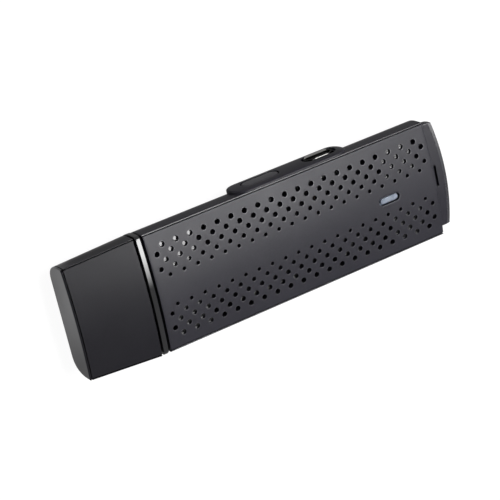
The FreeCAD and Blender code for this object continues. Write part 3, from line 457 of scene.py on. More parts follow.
cap_mat = plastic("cap_plastic", (0.0054, 0.0050, 0.0078), (0.0070, 0.0066, 0.0096), 0.30, 0.03, 8600.0, 0.05,
                  specular=0.20)
# painted highlight: a lighter, glossier copy of the cap plastic for the lit strip along the upper edges
cap_edge_highlight_mat = plastic("cap_edge", (0.0085, 0.0080, 0.0112), (0.0105, 0.0100, 0.0136), 0.30, 0.02, 8600.0, 0.04,
                       specular=0.48)
line_mat = plastic("cap_line", (0.0016, 0.0016, 0.0020), (0.0024, 0.0024, 0.0028), 0.6, 0.05, 5200.0, 0.1,
                   specular=0.06)
# glossier than the end plastic and painted lighter: partly real gloss, partly a painted highlight on the rounded upper
# edges
edge_mat = plastic("end_edge_gloss_and_highlight", (0.016, 0.0153, 0.020), (0.020, 0.0193, 0.025), 0.22, 0.03, 7400.0, 0.03,
                   specular=1.0)
facet_mat = plastic("end_facet", (0.0125, 0.0119, 0.0165), (0.0156, 0.0149, 0.0203), 0.27, 0.03, 7400.0, 0.06,
                    specular=0.8)
end_mat = plastic("end_plastic", (0.0125, 0.0119, 0.0168), (0.0156, 0.0149, 0.0205), 0.36, 0.03, 7400.0, 0.10,
                  specular=0.22)
button_mat = plastic("button_plastic", (0.031, 0.030, 0.036), (0.038, 0.037, 0.044), 0.34, 0.03, 8200.0, 0.06,
                     specular=0.45)
ring_mat = gloss("ring_gloss", (0.004, 0.004, 0.005), (0.006, 0.006, 0.0072), 0.07)
lens_mat = milky("window_milky")
port_mat = metal("port_nickel", (0.44, 0.435, 0.42), (0.54, 0.535, 0.52), 0.33, 0.05, (1.0, 14.0, 14.0))
# painted shade: a near-black copy of the nickel for the port and plug surfaces that lie in shade
port_painted_shade_mat = metal("port_nickel_painted_shade", (0.012, 0.012, 0.012), (0.022, 0.022, 0.021), 0.42, 0.05, (1.0, 14.0, 14.0))
plug_mat = metal("plug_nickel", (0.62, 0.61, 0.59), (0.72, 0.71, 0.69), 0.22, 0.05, (1.0, 16.0, 16.0))
tin_mat = metal("shield_tin", (0.17, 0.17, 0.165), (0.23, 0.23, 0.222), 0.42, 0.07, (1.0, 10.0, 10.0))
gold_mat = metal("contact_gold", (0.78, 0.56, 0.22), (0.86, 0.65, 0.3), 0.24, 0.05, (1.0, 12.0, 12.0))
brass_mat = metal("antenna_strip", (0.66, 0.54, 0.32), (0.76, 0.64, 0.4), 0.3, 0.06, (12.0, 1.0, 1.0))
screw_mat = metal("screw_black_zinc", (0.09, 0.09, 0.095), (0.15, 0.15, 0.16), 0.34, 0.08, (6.0, 6.0, 6.0))
spreader_mat = resin("spreader_black_anodised", (0.010, 0.010, 0.011), (0.016, 0.016, 0.017), 0.5)
resin_mat = resin("black_resin", (0.010, 0.010, 0.011), (0.020, 0.020, 0.021), 0.45)
white_mat = resin("plunger_resin", (0.60, 0.59, 0.54), (0.70, 0.69, 0.64), 0.4)
chip_mat = resin("chip_mould", (0.014, 0.014, 0.015), (0.026, 0.026, 0.027), 0.55, 2600.0)
ferrite_mat = resin("coil_ferrite", (0.045, 0.045, 0.05), (0.085, 0.085, 0.09), 0.6, 1800.0, 0.35)
ceramic_mat = resin("ceramic_body", (0.32, 0.22, 0.13), (0.44, 0.32, 0.21), 0.45, 2200.0, 0.3)
gap_mat = resin("gap_filler", (0.22, 0.33, 0.46), (0.32, 0.44, 0.58), 0.7, 900.0, 0.5, 3e-5)
led_mat = resin("led_resin", (0.62, 0.60, 0.42), (0.76, 0.74, 0.56), 0.25)
label_mat = resin("label_film", (0.075, 0.075, 0.078), (0.095, 0.095, 0.099), 0.5, 3200.0, 0.1, 4e-6)
board_mat = board_mask("board_mask")

finish = {
    "main_board": board_mat, "radio_board": board_mat, "processor_chip": chip_mat, "memory_chip": chip_mat,
    "flash_chip": chip_mat, "radio_shield": tin_mat, "clock_crystal": tin_mat, "power_coils": ferrite_mat,
    "capacitors": ceramic_mat, "shield_frame": tin_mat, "shield_lid": tin_mat, "thermal_pad": gap_mat,
    "chip_pad": gap_mat, "heat_spreader": spreader_mat, "antenna_a": brass_mat, "antenna_b": brass_mat,
    "board_screws": screw_mat, "rating_label": label_mat, "status_led": led_mat, "switch_body": resin_mat,
    "switch_plunger": white_mat, "switch_legs": tin_mat, "port_tongue": resin_mat, "port_contacts": gold_mat,
    "plug_insulator": resin_mat, "plug_contacts": gold_mat,
}
for n, m in finish.items():
    mesh = nodes[n].data
    if len(mesh.materials) == 0:
        mesh.materials.append(m)
    for k in range(len(mesh.materials)):
        mesh.materials[k] = m


# ------------------------------------------------------------------ perforated cover plate
def make_cover():
    s = Shape()
    x_hi, x_lo, half, thick = 30.26, -45.8, 13.91, 1.0
    body = Section(14.36, 6.3, 0.0, 9.0, 3.2, 9.9)
    round_ = 0.1
    step = 0.3
    dimple = 0.75

    def top(x, y, depth=0.0):
        return (x, y, body.top(y) - depth)

    xs = [x_hi - round_, 29.6] + [29.0 - step * k for k in range(0, 247)] + [-45.2, x_lo + round_]
    ys = [-half + round_, -13.3, -12.75, -12.2] + [-11.7 + step * k for k in range(0, 79)] + [12.2, 12.75, 13.3, half - round_]
    nx, ny = len(xs), len(ys)
    i0, j0 = 2, 4  # the grid lines where the 1.8 mm blocks start

    radii = {2: 0.46, 3: 0.55, 4: 0.61, 5: 0.64, 6: 0.66}
    kind_of = {}  # (block i, block j) -> (radius or None, blind)
    for bi in range(41):
        i = bi - 1
        for bj in range(13):
            j = bj - 6
            a = abs(j)
            has = a >= 2 and ((i % 2 == 0 and a in (2, 4, 6) and 0 <= i <= 38) or (i % 2 != 0 and a in (3, 5)))
            pad = a >= 3 and (0 <= i <= 4 or 33 <= i <= 37)
            kind_of[bi, bj] = (radii[a] if has else None, pad)

    # status window: the grid cells it takes
    wi0, wi1 = i0 + 192, i0 + 217
    wj0, wj1 = j0 + 32, j0 + 46

    def block(i, j):
        """The block a grid cell belongs to, or None in the margins."""
        a, b = i - i0, j - j0
        if 0 <= a < 246 and 0 <= b < 78:
            return a // 6, b // 6
        return None

    def depth_under(i, j):
        k = block(i, j)
        return thick + 1.1 if k and kind_of[k][1] else thick

    for level in ("top", "under"):
        ids = {}

        def vid(i, j, d):
            key = (i, j, d)
            if key not in ids:
                ids[key] = s.put([top(xs[i], ys[j], d)])[0]
            return ids[key]

        for i in range(nx - 1):
            for j in range(ny - 1):
                k = block(i, j)
                if k and kind_of[k][0] and (level == "top" or not kind_of[k][1]):
                    continue
                if wi0 <= i < wi1 and wj0 <= j < wj1:
                    continue
                d = 0.0 if level == "top" else depth_under(i, j)
                s.face((vid(i, j, d), vid(i + 1, j, d), vid(i + 1, j + 1, d), vid(i, j + 1, d)))
        if level == "under":
            for i in range(1, nx - 1):
                for j in range(ny - 1):
                    a, b = depth_under(i - 1, j), depth_under(i, j)
                    if a != b:
                        s.face((vid(i, j, a), vid(i, j + 1, a), vid(i, j + 1, b), vid(i, j, b)))
            for i in range(nx - 1):
                for j in range(1, ny - 1):
                    a, b = depth_under(i, j - 1), depth_under(i, j)
                    if a != b:
                        s.face((vid(i, j, a), vid(i + 1, j, a), vid(i + 1, j, b), vid(i, j, b)))

    # the holes: ring after ring from the square cell to the hole's floor or lower edge
    for (bi, bj), (r, blind) in kind_of.items():
        if not r:
            continue
        x0, x1 = xs[i0 + 6 * bi], xs[i0 + 6 * bi + 6]
        y0, y1 = ys[j0 + 6 * bj], ys[j0 + 6 * bj + 6]
        cx, cy = (x0 + x1) / 2, (y0 + y1) / 2
        square = []
        square += [(xs[i0 + 6 * bi], ys[j0 + 6 * bj + q]) for q in range(6)]
        square += [(xs[i0 + 6 * bi + q], ys[j0 + 6 * bj + 6]) for q in range(6)]
        square += [(xs[i0 + 6 * bi + 6], ys[j0 + 6 * bj + 6 - q]) for q in range(6)]
        square += [(xs[i0 + 6 * bi + 6 - q], ys[j0 + 6 * bj]) for q in range(6)]
        angle = [math.atan2(y - cy, x - cx) for x, y in square]

        def ring(radius, depth):
            return [top(cx + radius * math.cos(a), cy + radius * math.sin(a), depth) for a in angle]

        s.loft([[top(x, y) for x, y in square], ring(r + 0.16, 0.0)])
        # the rounded rim of each hole takes the lighter rim material, a painted highlight halo
        s.loft([ring(r + 0.16, 0.0), ring(r + 0.055, 0.002), ring(r + 0.03, 0.009), ring(r + 0.01, 0.025), ring(r, 0.05)], kind=2)
        if blind:
            s.loft([ring(r, 0.05), ring(r, dimple - 0.1)])
            s.loft([ring(r, dimple - 0.1), ring(r - 0.03, dimple - 0.04), ring(r - 0.1, dimple), ring(r * 0.5, dimple)], kind=1)
            s.fan(ring(r * 0.5, dimple), top(cx, cy, dimple), kind=1)
        else:
            s.loft([ring(r, 0.05), ring(r, 0.5), ring(r, thick - 0.02), ring(r + 0.02, thick),
                    [top(x, y, thick) for x, y in square]])

    # the status window
    outer = [(xs[i], ys[wj0]) for i in range(wi0, wi1)] + [(xs[wi1], ys[j]) for j in range(wj0, wj1)]
    outer += [(xs[i], ys[wj1]) for i in range(wi1, wi0, -1)] + [(xs[wi0], ys[j]) for j in range(wj1, wj0, -1)]
    slot = {d: stadium(-32.45, 0.15, 5.8 + 2 * d, 2.0 + 2 * d, 14, 14) for d in (0.0, 0.02, 0.06, 0.12)}
    s.fill(outer, [slot[0.12]], lambda x, y: top(x, y), 0.3)
    # the slot's rounded edge also takes the lighter rim material, a painted highlight
    s.loft([[top(x, y) for x, y in slot[0.12]], [top(x, y, 0.012) for x, y in slot[0.06]],
            [top(x, y, 0.05) for x, y in slot[0.02]], [top(x, y, 0.12) for x, y in slot[0.0]]], kind=2)
    s.loft([[top(x, y, 0.12) for x, y in slot[0.0]], [top(x, y, thick) for x, y in slot[0.0]]])
    s.fill(outer, [slot[0.0]], lambda x, y: top(x, y, thick), 0.3)

    # the border: rounded upper edge, side, underside
    border = [(i, 0) for i in range(nx - 1)] + [(nx - 1, j) for j in range(ny - 1)]
    border += [(i, ny - 1) for i in range(nx - 1, 0, -1)] + [(0, j) for j in range(ny - 1, 0, -1)]

    def edge(out, depth):
        pts = []
        for i, j in border:
            dx = out if i == 0 else -out if i == nx - 1 else 0.0
            dy = -out if j == 0 else out if j == ny - 1 else 0.0
            pts.append(top(xs[i] + dx, ys[j] + dy, depth))
        return pts

    s.loft([edge(0.0, 0.0), edge(0.05, 0.013), edge(0.087, 0.05), edge(0.1, 0.1), edge(0.1, 0.9), edge(0.0, thick)])

    # posts that stand on the board
    for px, py in ((24.0, 10.2), (24.0, -10.2), (-37.0, 10.2), (-37.0, -10.2)):
        top_z = body.top(py) - thick - 1.1
        ring_ = arc(px, py, 1.3, 0, 2 * math.pi, 24)[:-1]
        small = arc(px, py, 1.2, 0, 2 * math.pi, 24)[:-1]
        loops = [[(x, y, body.top(y) - thick - 1.1 + 0.001) for x, y in ring_], [(x, y, 3.72) for x, y in ring_],
                 [(x, y, 3.6) for x, y in small]]
        s.fan(loops[0], (px, py, top_z))
        s.loft(loops)
        s.fan(loops[-1], (px, py, 3.6))
    return s.build("cover_plate", [cover_mat, dimple_mat, hole_rim_highlight_mat], "stick", "top_cover")


# ------------------------------------------------------------------ case with the side pod
def make_case():
    s = Shape()
    out = Section(14.36, 6.3, 0.0, 9.0, 3.2, 9.9)
    inn = Section(12.76, 6.3, 1.6, 7.5, 1.8, 13.9)
    x0, x1, x_in = -45.8, 30.4, 28.8
    rim, ledge = 14.10, 7.84
    wx0, wx1, wz0, wz1 = -27.25, 6.95, 0.95, 8.5
    levels = steps(wz0, wz1, 14)
    cols = steps(wx0, wx1, 60)
    xs = [x0, x0 + 0.1] + steps(x0 + 0.1, wx0, 12)[1:] + cols[1:] + steps(wx1, x1 - 0.1, 14)[1:] + [x1]

    # the side of the section from the ledge over the rim down to the flat bottom, on +Y
    phi = math.asin(out.w / CROWN)
    n_y, n_z = math.sin(phi), math.cos(phi)
    r_out, r_in = 0.15, 0.05
    base = n_y * out.w + n_z * out.edge
    cz = (base - r_out - n_y * (out.w - r_out)) / n_z
    cz2 = (base - r_in - n_y * (rim + r_in)) / n_z
    psi = math.pi / 2 - phi
    low = [a for a in arc(out.yb, out.r1, out.r1, -math.pi / 2, out.turn, 12) if a[1] < wz0 - 0.05]
    side = low + [(out.wall(z), z) for z in levels]
    side += [(out.w, cz)][: 1 if cz > wz1 + 0.02 else 0]
    # the faces from rim0 to rim1 take the glossier rim material, painted lighter as a highlight
    rim0 = len(side) - 1
    side += arc(out.w - r_out, cz, r_out, 0, psi, 6)[1:]
    side += arc(rim + r_in, cz2, r_in, psi, math.pi, 4)
    rim1 = len(side) - 1
    side += [(rim, ledge), (inn.w, ledge)]
    k0 = len(low)
    k1 = k0 + len(levels) - 1

    ilow = [a for a in arc(inn.yb, inn.zb + inn.r1, inn.r1, -math.pi / 2, inn.turn, 8) if a[1] < 1.95]
    ilevels = steps(2.0, 7.7, 10)
    iside = ilow + [(inn.wall(z), z) for z in ilevels] + [(inn.w, ledge)]
    m0, m1 = len(ilow), len(ilow) + len(ilevels) - 1

    def trimmed(pts, d):
        """Section points moved inward for the eased edges at both ends."""
        p = np.array(pts, float)
        t = np.gradient(p, axis=0)
        nrm = np.stack([t[:, 1], -t[:, 0]], 1)
        nrm /= np.maximum(np.linalg.norm(nrm, axis=1), 1e-12)[:, None]
        return [tuple(v) for v in p - d * nrm]

    ends = {x0: 0.07, x1: 0.07}
    side_at = {x: (trimmed(side, ends[x]) if x in ends else side) for x in xs}

    def skin(sign, window):
        rows = [s.put([(x, sign * y, z) for y, z in side_at[x]]) for x in xs]
        for a in range(len(xs) - 1):
            for b in range(len(side) - 1):
                if window and wx0 - 1e-6 <= xs[a] < wx1 - 1e-6 and k0 <= b < k1:
                    continue
                s.face((rows[a][b], rows[a + 1][b], rows[a + 1][b + 1], rows[a][b + 1]), 1 if rim0 <= b < rim1 else 0)

    skin(1, False)
    skin(-1, True)

    # flat bottom with the label's recess
    low_line = [(x, -side_at[x][0][0]) for x in xs] + [(x, side_at[x][0][0]) for x in reversed(xs)]
    z_of = {round(x, 6): side_at[x][0][1] for x in xs}
    recess = {d: rounded(-10.0, 0.0, 38.0 + 2 * d, 15.0 + 2 * d, 0.8 + d, 5, 30, 14) for d in (0.0, 0.08)}
    s.fill(low_line, [recess[0.08]], lambda x, y: (x, y, z_of.get(round(x, 6), 0.0)), 3.0)
    s.loft([[(x, y, 0.0) for x, y in recess[0.08]], [(x, y, 0.06) for x, y in recess[0.0]],
            [(x, y, 0.2) for x, y in recess[0.0]]])
    s.fill(recess[0.0], [], lambda x, y: (x, y, 0.2), 3.0)

    # the side wall round the pod
    frame_ = [(x, wz0) for x in cols[:-1]] + [(wx1, z) for z in levels[:-1]]
    frame_ += [(x, wz1) for x in reversed(cols[1:])] + [(wx0, z) for z in reversed(levels[1:])]
    pod_x, pod_z, pod_l, pod_h, face_y, bulge, fil = -10.15, 4.9, 31.5, 7.2, 15.05, 20.0, 0.45
    end_x, end_r = -23.0, 8.0  # where the face starts to curve back towards the end piece

    def face(z, x=0.0):
        back = end_r - math.sqrt(end_r ** 2 - (end_x - x) ** 2) if x < end_x else 0.0
        return face_y - (bulge - math.sqrt(bulge * bulge - (z - pod_z) ** 2)) - back

    def pod(d):
        return stadium(pod_x, pod_z, pod_l - 2 * d, pod_h - 2 * d, 26, 64)

    def wall(x, z):
        return (x, -out.wall(z), z)

    s.fill(frame_, [pod(0.0)], wall, 0.6)
    loops = [[wall(x, z) for x, z in pod(0.0)]]
    n = 8
    for k in range(n + 1):
        a = math.pi / 2 * k / n
        d = fil * (1 - math.cos(a))
        loops.append([(x, -max(out.wall(z0), face(z, x) - fil + fil * math.sin(a)), z) for (x, z), (_, z0) in
                      zip(pod(d), pod(0.0))])
    s.loft(loops)
    b_x, b_z = -2.95, 4.9
    hole = {d: stadium(b_x, b_z, 10.00 + 2 * d, 3.66 + 2 * d, 14, 18) for d in (0.0, 0.03, 0.1)}
    p_x = -19.06
    rec = {d: stadium(p_x, pod_z, 9.1 + 2 * d, 3.8 + 2 * d, 16, 14) for d in (0.0, 0.03, 0.12)}
    s.fill(pod(fil), [hole[0.1], rec[0.12]], lambda x, z: (x, -face(z, x), z), 0.5)
    seat_y = 12.76
    s.loft([[(x, -face(z), z) for x, z in hole[0.1]], [(x, -face(z) + 0.025, z) for x, z in hole[0.03]],
            [(x, -face(z) + 0.1, z) for x, z in hole[0.0]], [(x, -seat_y, z) for x, z in hole[0.0]]])
    floor_y = 14.65
    s.loft([[(x, -face(z, x), z) for x, z in rec[0.12]], [(x, -face(z, x) + 0.03, z) for x, z in rec[0.03]],
            [(x, min(-face(z, x) + 0.12, -floor_y), z) for x, z in rec[0.0]], [(x, -floor_y, z) for x, z in rec[0.0]]])
    port = rounded(p_x, pod_z, 8.0, 3.0, 0.5, 5, 14, 6)
    s.fill(rec[0.0], [port], lambda x, z: (x, -floor_y, z), 0.5)
    s.loft([[(x, -floor_y, z) for x, z in port], [(x, -inn.wall(z), z) for x, z in port]])

    # inside of the shell
    ixs = [x0] + [x for x in xs[1:-1] if x < x_in - 0.2] + [x_in]
    for sign in (1, -1):
        rows = [s.put([(x, sign * y, z) for y, z in iside]) for x in ixs]
        for a in range(len(ixs) - 1):
            for b in range(len(iside) - 1):
                if sign < 0 and wx0 - 1e-6 <= ixs[a] < wx1 - 1e-6 and m0 <= b < m1:
                    continue
                s.face((rows[a][b], rows[a + 1][b], rows[a + 1][b + 1], rows[a][b + 1]))
    iframe = [(x, ilevels[0]) for x in cols[:-1]] + [(wx1, z) for z in ilevels[:-1]]
    iframe += [(x, ilevels[-1]) for x in reversed(cols[1:])] + [(wx0, z) for z in reversed(ilevels[1:])]
    seat = stadium(b_x, b_z, 11.9, 5.3, 14, 22)
    s.fill(iframe, [seat, port], lambda x, z: (x, -inn.wall(z), z), 0.7)
    s.loft([[(x, -inn.wall(z), z) for x, z in seat], [(x, -seat_y, z) for x, z in seat]])
    s.fill(seat, [hole[0.0]], lambda x, z: (x, -seat_y, z), 0.6)
    yi = iside[0][0]
    s.loft([[(x, -yi, inn.zb) for x in ixs], [(x, yi, inn.zb) for x in ixs]], closed=False)

    # open end at -X: the wall's own end face
    e_side = side_at[x0]
    for sign in (1, -1):
        s.face(s.put([(x0, sign * e_side[-1][0], e_side[-1][1]), (xs[1], sign * inn.w, ledge), (x0, sign * inn.w, ledge)]))
    outline_ = [(y, z) for y, z in e_side]
    inner_up = list(reversed([(y, z) for y, z in iside]))
    full = [(-y, z) for y, z in reversed(e_side)] + outline_ + inner_up + [(-y, z) for y, z in iside]
    s.fill(full, [], lambda y, z: (x0, y, z))

    # closed end at +X with the plug's opening
    hole_l = rounded(0.0, 4.95, 14.2, 4.75, 0.6, 4, 12, 5)
    e_side = side_at[x1]
    full = [(-y, z) for y, z in reversed(e_side)] + [(y, z) for y, z in e_side]
    s.fill(full, [hole_l], lambda y, z: (x1, y, z))
    s.loft([at_x(x1, hole_l), at_x(x_in, hole_l)])
    inner_end = [(-y, z) for y, z in reversed(iside)] + [(y, z) for y, z in iside]
    s.fill(inner_end, [hole_l], lambda y, z: (x_in, y, z))
    tips = [(x_in, ledge)] + [(x, ledge) for x in xs if x > x_in + 1e-6 and x < x1] + [(x1, e_side[-1][1])]
    y_tip = {x1: e_side[-1][0]}
    s.loft([[(x, -y_tip.get(x, inn.w), z) for x, z in tips], [(x, y_tip.get(x, inn.w), z) for x, z in tips]], closed=False)
    return s.build("case_shell", [case_mat, rim_mat], "stick", "bottom_case")


# ------------------------------------------------------------------ glossy collar
def make_ring():
    s = Shape()
    sec = Section(14.48, 6.3, 0.0, 9.1, 3.25, 10.02)
    land = Section(13.26, 6.3, 1.1, 8.0, 2.3, 8.8)
    soft, c = 0.64, 0.18
    land_loop = land.loop(0.2)
    x0, x1, xl = 30.85, 32.12, 30.40

    def near(d):
        return sec.smaller(d).loop(soft - d, ne=1) if d else sec.loop(soft, ne=1)

    opening = {d: rounded(0.0, 4.95, 15.0 + 2 * d, 5.6 + 2 * d, 0.9 + d, 6, 14, 6) for d in (0.0, 0.12)}
    turn = [math.pi / 2 * k / 6 for k in range(7)]
    first = [at_x(x0 + c * (1 - math.sin(a)), near(c * (1 - math.cos(a)))) for a in reversed(turn)]
    last = [at_x(x1 - c * (1 - math.sin(a)), near(c * (1 - math.cos(a)))) for a in turn]
    s.loft(first + last)
    s.fill(near(c), [opening[0.12]], lambda y, z: (x1, y, z), 1.6)
    s.loft([at_x(x1, opening[0.12]), at_x(x1 - 0.12, opening[0.0]), at_x(xl, opening[0.0])])
    s.fill(near(c), [land_loop], lambda y, z: (x0, y, z))
    s.loft([at_x(x0, land_loop), at_x(xl, land_loop)])
    s.fill(land_loop, [opening[0.0]], lambda y, z: (xl, y, z), 1.6)
    return s.build("collar_ring", [ring_mat], "stick", "trim_ring")


# ------------------------------------------------------------------ plug cap
def make_cap():
    s = Shape()
    x0, x1 = 32.6, 50.28

    soft, line = 0.13, 0.30

    def loop(x, d=0.0):
        f = (x - x0) / (x1 - x0)
        m = lambda a, b: a + (b - a) * f
        one = Section(m(14.40, 13.5), m(6.3, 5.6), 0.0, m(9.0, 8.3), m(3.2, 3.4), m(9.94, 8.62))
        return (one.smaller(d) if d else one).loop(max(0.05, soft - d), groove=(0.02, 0.31, max(0.02, line - d)))

    # painted highlight: the lit edge outside the line takes the lighter cap edge material
    def pick(i):
        """The fine line along both upper edges, and the lit edge outside it."""
        return 1 if 28 <= i <= 30 or 61 <= i <= 63 else 2 if 23 <= i <= 27 or 64 <= i <= 68 else 0

    r = 0.34
    loops = [at_x(x0 + 0.12 * (1 - math.sin(a)), loop(x0, 0.12 * (1 - math.cos(a)))) for a in
             (math.pi / 2, math.pi / 3, math.pi / 6, 0.0)]
    seam = x1 - r - 0.28
    for x in steps(x0 + 0.12, seam, 14)[1:]:
        loops.append(at_x(x, loop(x)))
    cut = len(loops) - 1
    loops += [at_x(seam + 0.03, loop(seam, line)), at_x(seam + 0.20, loop(seam + 0.2, line)), at_x(seam + 0.23, loop(seam + 0.23))]
    for k in range(8):
        a = math.pi / 2 * k / 7
        x = x1 - r + r * math.sin(a)
        loops.append(at_x(x, loop(x, r * (1 - math.cos(a)))))
    s.loft(loops[:cut + 1], pick=pick)
    s.loft(loops[cut:cut + 4], kind=1)
    s.loft(loops[cut + 3:], pick=lambda i: 1 if pick(i) == 1 else 0)
    end = [(y, z) for _, y, z in loops[-1]]
    s.fill(end, [], lambda y, z: (x1, y, z), 1.8)
    pockets = []
    for cy, cz, w, h, depth, rad in ((0.0, 4.95, 14.14, 4.69, 12.7, 0.5), (10.4, 4.85, 3.6, 5.2, 11.9, 0.8),
                                     (-10.4, 4.85, 3.6, 5.2, 11.9, 0.8)):
        a = rounded(cy, cz, w + 0.24, h + 0.24, rad + 0.12, 5, 12, 6)
        b = rounded(cy, cz, w, h, rad, 5, 12, 6)
        b2 = rounded(cy, cz, w - 0.4, h - 0.4, rad - 0.2, 5, 12, 6)
        pockets.append(a)
        s.loft([at_x(x0, a), at_x(x0 + 0.12, b), at_x(x0 + depth - 0.2, b), at_x(x0 + depth, b2)])
        s.fill(b2, [], lambda y, z, q=x0 + depth: (q, y, z))
    mouth = [(y, z) for _, y, z in loops[0]]
    s.fill(mouth, pockets, lambda y, z: (x0, y, z), 1.2)
    return s.build("cap_shell", [cap_mat, line_mat, cap_edge_highlight_mat], "cap", "plug_cap")


# ------------------------------------------------------------------ end piece
def make_end():
    s = Shape()
    sec = Section(13.05, 6.3, 1.66, 7.5, 1.8, 8.1)
    tongue = Section(12.67, 6.3, 1.66, 7.5, 1.8, 8.1)
    soft, step_x = 0.24, -45.85
    loop = sec.loop(soft, nt=36)
    hollow = Section(11.42, 5.6, 2.91, 6.5, 1.0, 6.85).loop(0.2, nt=36)
    x_end, plan, x_open, x_wall = -50.28, 80.0, -43.3, -48.1

    def tip(y):
        return x_end + plan - math.sqrt(plan * plan - y * y)

    # a shallow facet along the curved end, then a small edge: (how far in from the side, how far back)
    facet = [(0.0, 1.02), (0.004, 0.96), (0.014, 0.89), (0.05, 0.62), (0.10, 0.30), (0.125, 0.14), (0.15, 0.07),
             (0.19, 0.02), (0.25, 0.0)]
    loops = []
    for d, back in facet:
        one = sec.smaller(d).loop(max(0.04, soft - d), nt=36) if d else loop
        loops.append([(tip(y) + back, y, z) for y, z in one])
    loops.reverse()
    b, c = -47.86, -46.8
    # the rounded upper side edges (shiny) take the glossier edge material, painted lighter as a highlight
    edges = [i for i, (y, z) in enumerate(loop) if z > sec.edge - 0.24 and abs(y) > sec.w - 0.24]
    shiny = {i for i in edges if (i + 1) % len(loop) in edges}
    first = [(b, y, z) for y, z in loop]
    s.loft(loops[:4], pick=lambda i: 1 if i in shiny else 0)
    s.loft(loops[3:7], pick=lambda i: 1 if i in shiny else 2)
    s.loft(loops[6:] + [first], pick=lambda i: 1 if i in shiny else 0)
    end = [(y, z) for _, y, z in loops[0]]
    s.fill(end, [], lambda y, z: (tip(y), y, z), 0.9)
    # strip b..c on the top holds the slot
    c0 = sec.zc - CROWN
    on_top = [i for i, (y, z) in enumerate(loop) if abs(z - (c0 + math.sqrt(CROWN ** 2 - y * y))) < 1e-6 and abs(y) < 4.4]
    i0, i1 = min(on_top), max(on_top)
    ids_b = s.put(first)
    ids_c = s.put([(c, y, z) for y, z in loop])
    n = len(loop)
    for i in range(n):
        j = (i + 1) % n
        if i0 <= i < i1:
            continue
        s.face((ids_b[i], ids_b[j], ids_c[j], ids_c[i]), 1 if i in shiny else 0)
    win = [(b, loop[i][0]) for i in range(i0, i1 + 1)] + [(c, loop[i][0]) for i in range(i1, i0 - 1, -1)]
    slot = {d: [(x, y) for y, x in stadium(0.0, -47.4, 5.3 + 2 * d, 0.6 + 2 * d, 8, 14)] for d in (0.0, 0.015, 0.06)}
    up = lambda x, y: (x, y, sec.top(y))
    s.fill(win, [slot[0.06]], up, 0.35)
    s.loft([[up(*p) for p in slot[0.06]], [(x, y, sec.top(y) - 0.015) for x, y in slot[0.015]],
            [(x, y, sec.top(y) - 0.06) for x, y in slot[0.0]]])
    inner_top = lambda y: 6.85 - CROWN + math.sqrt(CROWN ** 2 - y * y)
    s.loft([[(x, y, sec.top(y) - 0.06) for x, y in slot[0.0]], [(x, y, inner_top(y)) for x, y in slot[0.0]]])
    s.loft([[(c, y, z) for y, z in loop], [(step_x, y, z) for y, z in loop]], pick=lambda i: 1 if i in shiny else 0)
    # the step down to the tongue that goes into the case
    inside, tip_in = tongue.smaller(0.02).loop(soft, nt=36), tongue.smaller(0.1).loop(soft - 0.08, nt=36)
    s.fill(loop, [inside], lambda y, z: (step_x, y, z))
    s.loft([at_x(step_x, inside), at_x(x_open + 0.08, inside), at_x(x_open, tip_in)])
    s.fill(tip_in, [hollow], lambda y, z: (x_open, y, z))
    # the hollow
    h0 = [i for i, (y, z) in enumerate(hollow) if abs(z - inner_top(y)) < 1e-6 and abs(y) < 4.4]
    k0, k1 = min(h0), max(h0)
    ha = s.put([(x_wall, y, z) for y, z in hollow])
    hb = s.put([(c, y, z) for y, z in hollow])
    for i in range(len(hollow)):
        if k0 <= i < k1:
            continue
        j = (i + 1) % len(hollow)
        s.face((ha[i], ha[j], hb[j], hb[i]))
    win = [(x_wall, hollow[i][0]) for i in range(k0, k1 + 1)] + [(c, hollow[i][0]) for i in range(k1, k0 - 1, -1)]
    s.fill(win, [slot[0.0]], lambda x, y: (x, y, inner_top(y)), 0.4)
    s.loft([[(c, y, z) for y, z in hollow], [(x_open, y, z) for y, z in hollow]])
    s.fill(hollow, [], lambda y, z: (x_wall, y, z))
    return s.build("end_block", [end_mat, edge_mat, facet_mat], "stick", "end_piece")


# ------------------------------------------------------------------ button
def make_button():
    s = Shape()
    bx, bz = -2.95, 4.9
    face_y, bulge = 14.99, 20.0
    back = 12.70  # where the flange starts

    def face(z):
        return face_y - (bulge - math.sqrt(bulge * bulge - (z - bz) ** 2))

    def head(d):
        return stadium(bx, bz, 9.5 - 2 * d, 3.3 - 2 * d, 18, 24)

    r = 0.26
    loops = [[(x, -back, z) for x, z in head(0.0)]]
    for k in range(0, 8):
        a = math.pi / 2 * k / 7
        loops.append([(x, -(face(z) - r + r * math.sin(a)), z) for x, z in head(r * (1 - math.cos(a)))])
    s.loft(loops)
    s.fill(head(r), [], lambda x, z: (x, -face(z), z), 0.45)
    fl = stadium(bx, bz, 11.4, 4.8, 18, 24)
    s.loft([[(x, -back, z) for x, z in head(0.0)], [(x, -back, z) for x, z in fl], [(x, -back + 0.7, z) for x, z in fl]])
    stem = arc(bx, bz, 1.0, 0, 2 * math.pi, 28)[:-1]
    s.fill(fl, [stem], lambda x, z: (x, -back + 0.7, z), 0.8)
    s.loft([[(x, -back + 0.7, z) for x, z in stem], [(x, -back + 1.30, z) for x, z in stem],
            [(bx + (x - bx) * 0.95, -back + 1.35, bz + (z - bz) * 0.95) for x, z in stem]])
    s.fan([(bx + (x - bx) * 0.95, -back + 1.35, bz + (z - bz) * 0.95) for x, z in stem], (bx, -back + 1.35, bz))
    return s.build("push_button", [button_mat], "button", "side_button")


